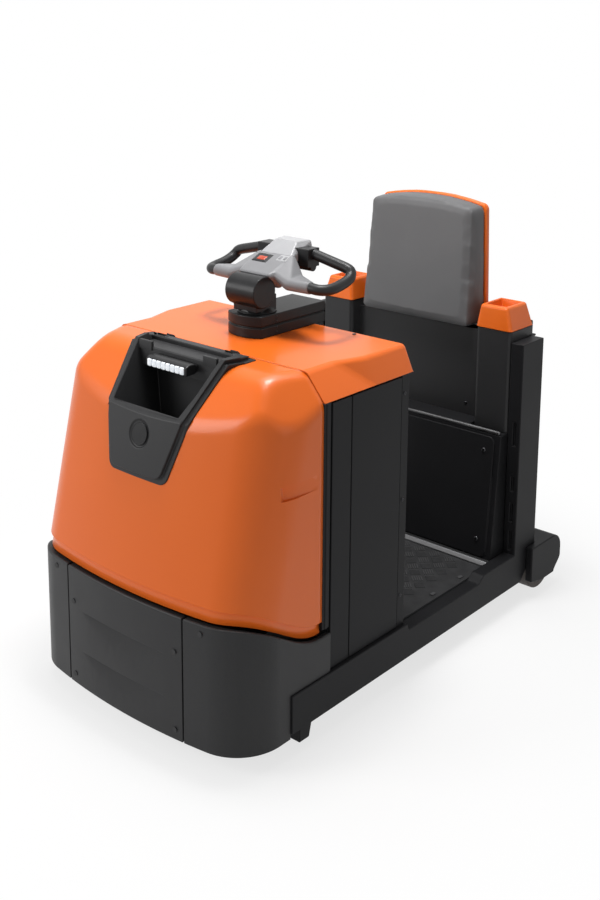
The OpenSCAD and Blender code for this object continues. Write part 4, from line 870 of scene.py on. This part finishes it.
def seen_share(tree):
    """One where the camera sees a surface straight, mirrored or through glass, and zero for other light."""
    rays = put(tree, "ShaderNodeLightPath")
    mirrored = {0: rays["Is Camera Ray"], 1: rays["Is Glossy Ray"]}
    seen = put(tree, "ShaderNodeMath", {"operation": "MAXIMUM"}, mirrored)
    return put(tree, "ShaderNodeMath", {"operation": "MAXIMUM"}, {0: seen[0], 1: rays["Is Transmission Ray"]})[0]


# Paper: white, matt and evenly lit.
paper = bpy.data.materials.new("white_studio_paper")
paper.use_nodes = True
tree = paper.node_tree
tree.nodes.clear()
place = put(tree, "ShaderNodeTexCoord")["Object"]
away = put(tree, "ShaderNodeVectorMath", {"operation": "LENGTH"}, {0: place})
near_machine = {"interpolation_type": "SMOOTHSTEP", 1: 0.6, 2: 1.4, 3: 0.72, 4: 1.0}
bare = put(tree, "ShaderNodeMapRange", near_machine, {0: away["Value"]})
share = put(tree, "ShaderNodeMath", {"operation": "MULTIPLY"}, {0: seen_share(tree), 1: bare[0]})
matt = put(tree, "ShaderNodeBsdfDiffuse", {"Color": linear("#fafafa")})
glow = put(tree, "ShaderNodeEmission", {"Color": (1, 1, 1, 1), "Strength": 1.0})
both = put(tree, "ShaderNodeMixShader", None, {0: share[0], 1: matt[0], 2: glow[0]})
put(tree, "ShaderNodeOutputMaterial", None, {"Surface": both[0]})
floor_mesh.materials.append(paper)

# Backdrop and lamps: a white surround, a ceiling softbox, a small lamp overhead, a front-left key and a weak fill.
# The large sources give the long gradients on the mouldings, the small one the shadow of the handle's loops.
world = bpy.data.worlds.new("white_surround")
scene.world = world
world.use_nodes = True
tree = world.node_tree
tree.nodes.clear()
level = put(tree, "ShaderNodeMapRange", {3: 0.26, 4: 1.0}, {0: seen_share(tree)})
sky = put(tree, "ShaderNodeBackground", {"Color": (1, 1, 1, 1)}, {"Strength": level[0]})
put(tree, "ShaderNodeOutputWorld", None, {"Surface": sky[0]})


def softbox(name, where, aim, width, height, watts):
    """A rectangular area lamp that points at a place."""
    lamp = bpy.data.lights.new(name, "AREA")
    lamp.shape = "RECTANGLE"
    lamp.size, lamp.size_y, lamp.energy = width, height, watts
    made = bpy.data.objects.new(name, lamp)
    made.location = where
    made.rotation_mode = "QUATERNION"
    made.rotation_quaternion = (Vector(aim) - Vector(where)).to_track_quat("-Z", "Y")
    scene.collection.objects.link(made)


softbox("ceiling_softbox", (-0.3, 0.1, 3.2), (0.0, 0.0, 0.6), 1.8, 1.8, 40)
softbox("overhead_lamp", (0.1, -0.2, 3.0), (0.0, 0.0, 0.8), 0.5, 0.5, 36)
softbox("front_key", (-2.4, -3.4, 2.2), (0.0, -0.3, 0.6), 1.6, 1.8, 70)
softbox("right_fill", (3.6, -0.8, 1.5), (0.0, 0.2, 0.5), 1.2, 1.8, 5)

# Camera: where the photographer stood; the lens is shifted so that upright edges stay nearly parallel.
# Some pitch is kept, so that the whole machine stays in the picture when it is seen from other sides.
eye = Vector((2.031, -2.4076, 1.6964))
turn, dip, roll = math.radians(40.675), math.radians(10.952), math.radians(0.465)
camera = bpy.data.cameras.new("camera")
camera.lens, camera.sensor_width = 47.623, 36
camera.shift_x, camera.shift_y = -0.0082, -0.2271
camera.clip_end = 60
viewer = bpy.data.objects.new("camera", camera)
viewer.location = eye
viewer.rotation_mode = "QUATERNION"
ahead = Vector((-math.sin(turn) * math.cos(dip), math.cos(turn) * math.cos(dip), -math.sin(dip)))
viewer.rotation_quaternion = ahead.to_track_quat("-Z", "Y") @ Quaternion((0, 0, 1), roll)
scene.collection.objects.link(viewer)
scene.camera = viewer
scene.view_settings.view_transform = "Standard"
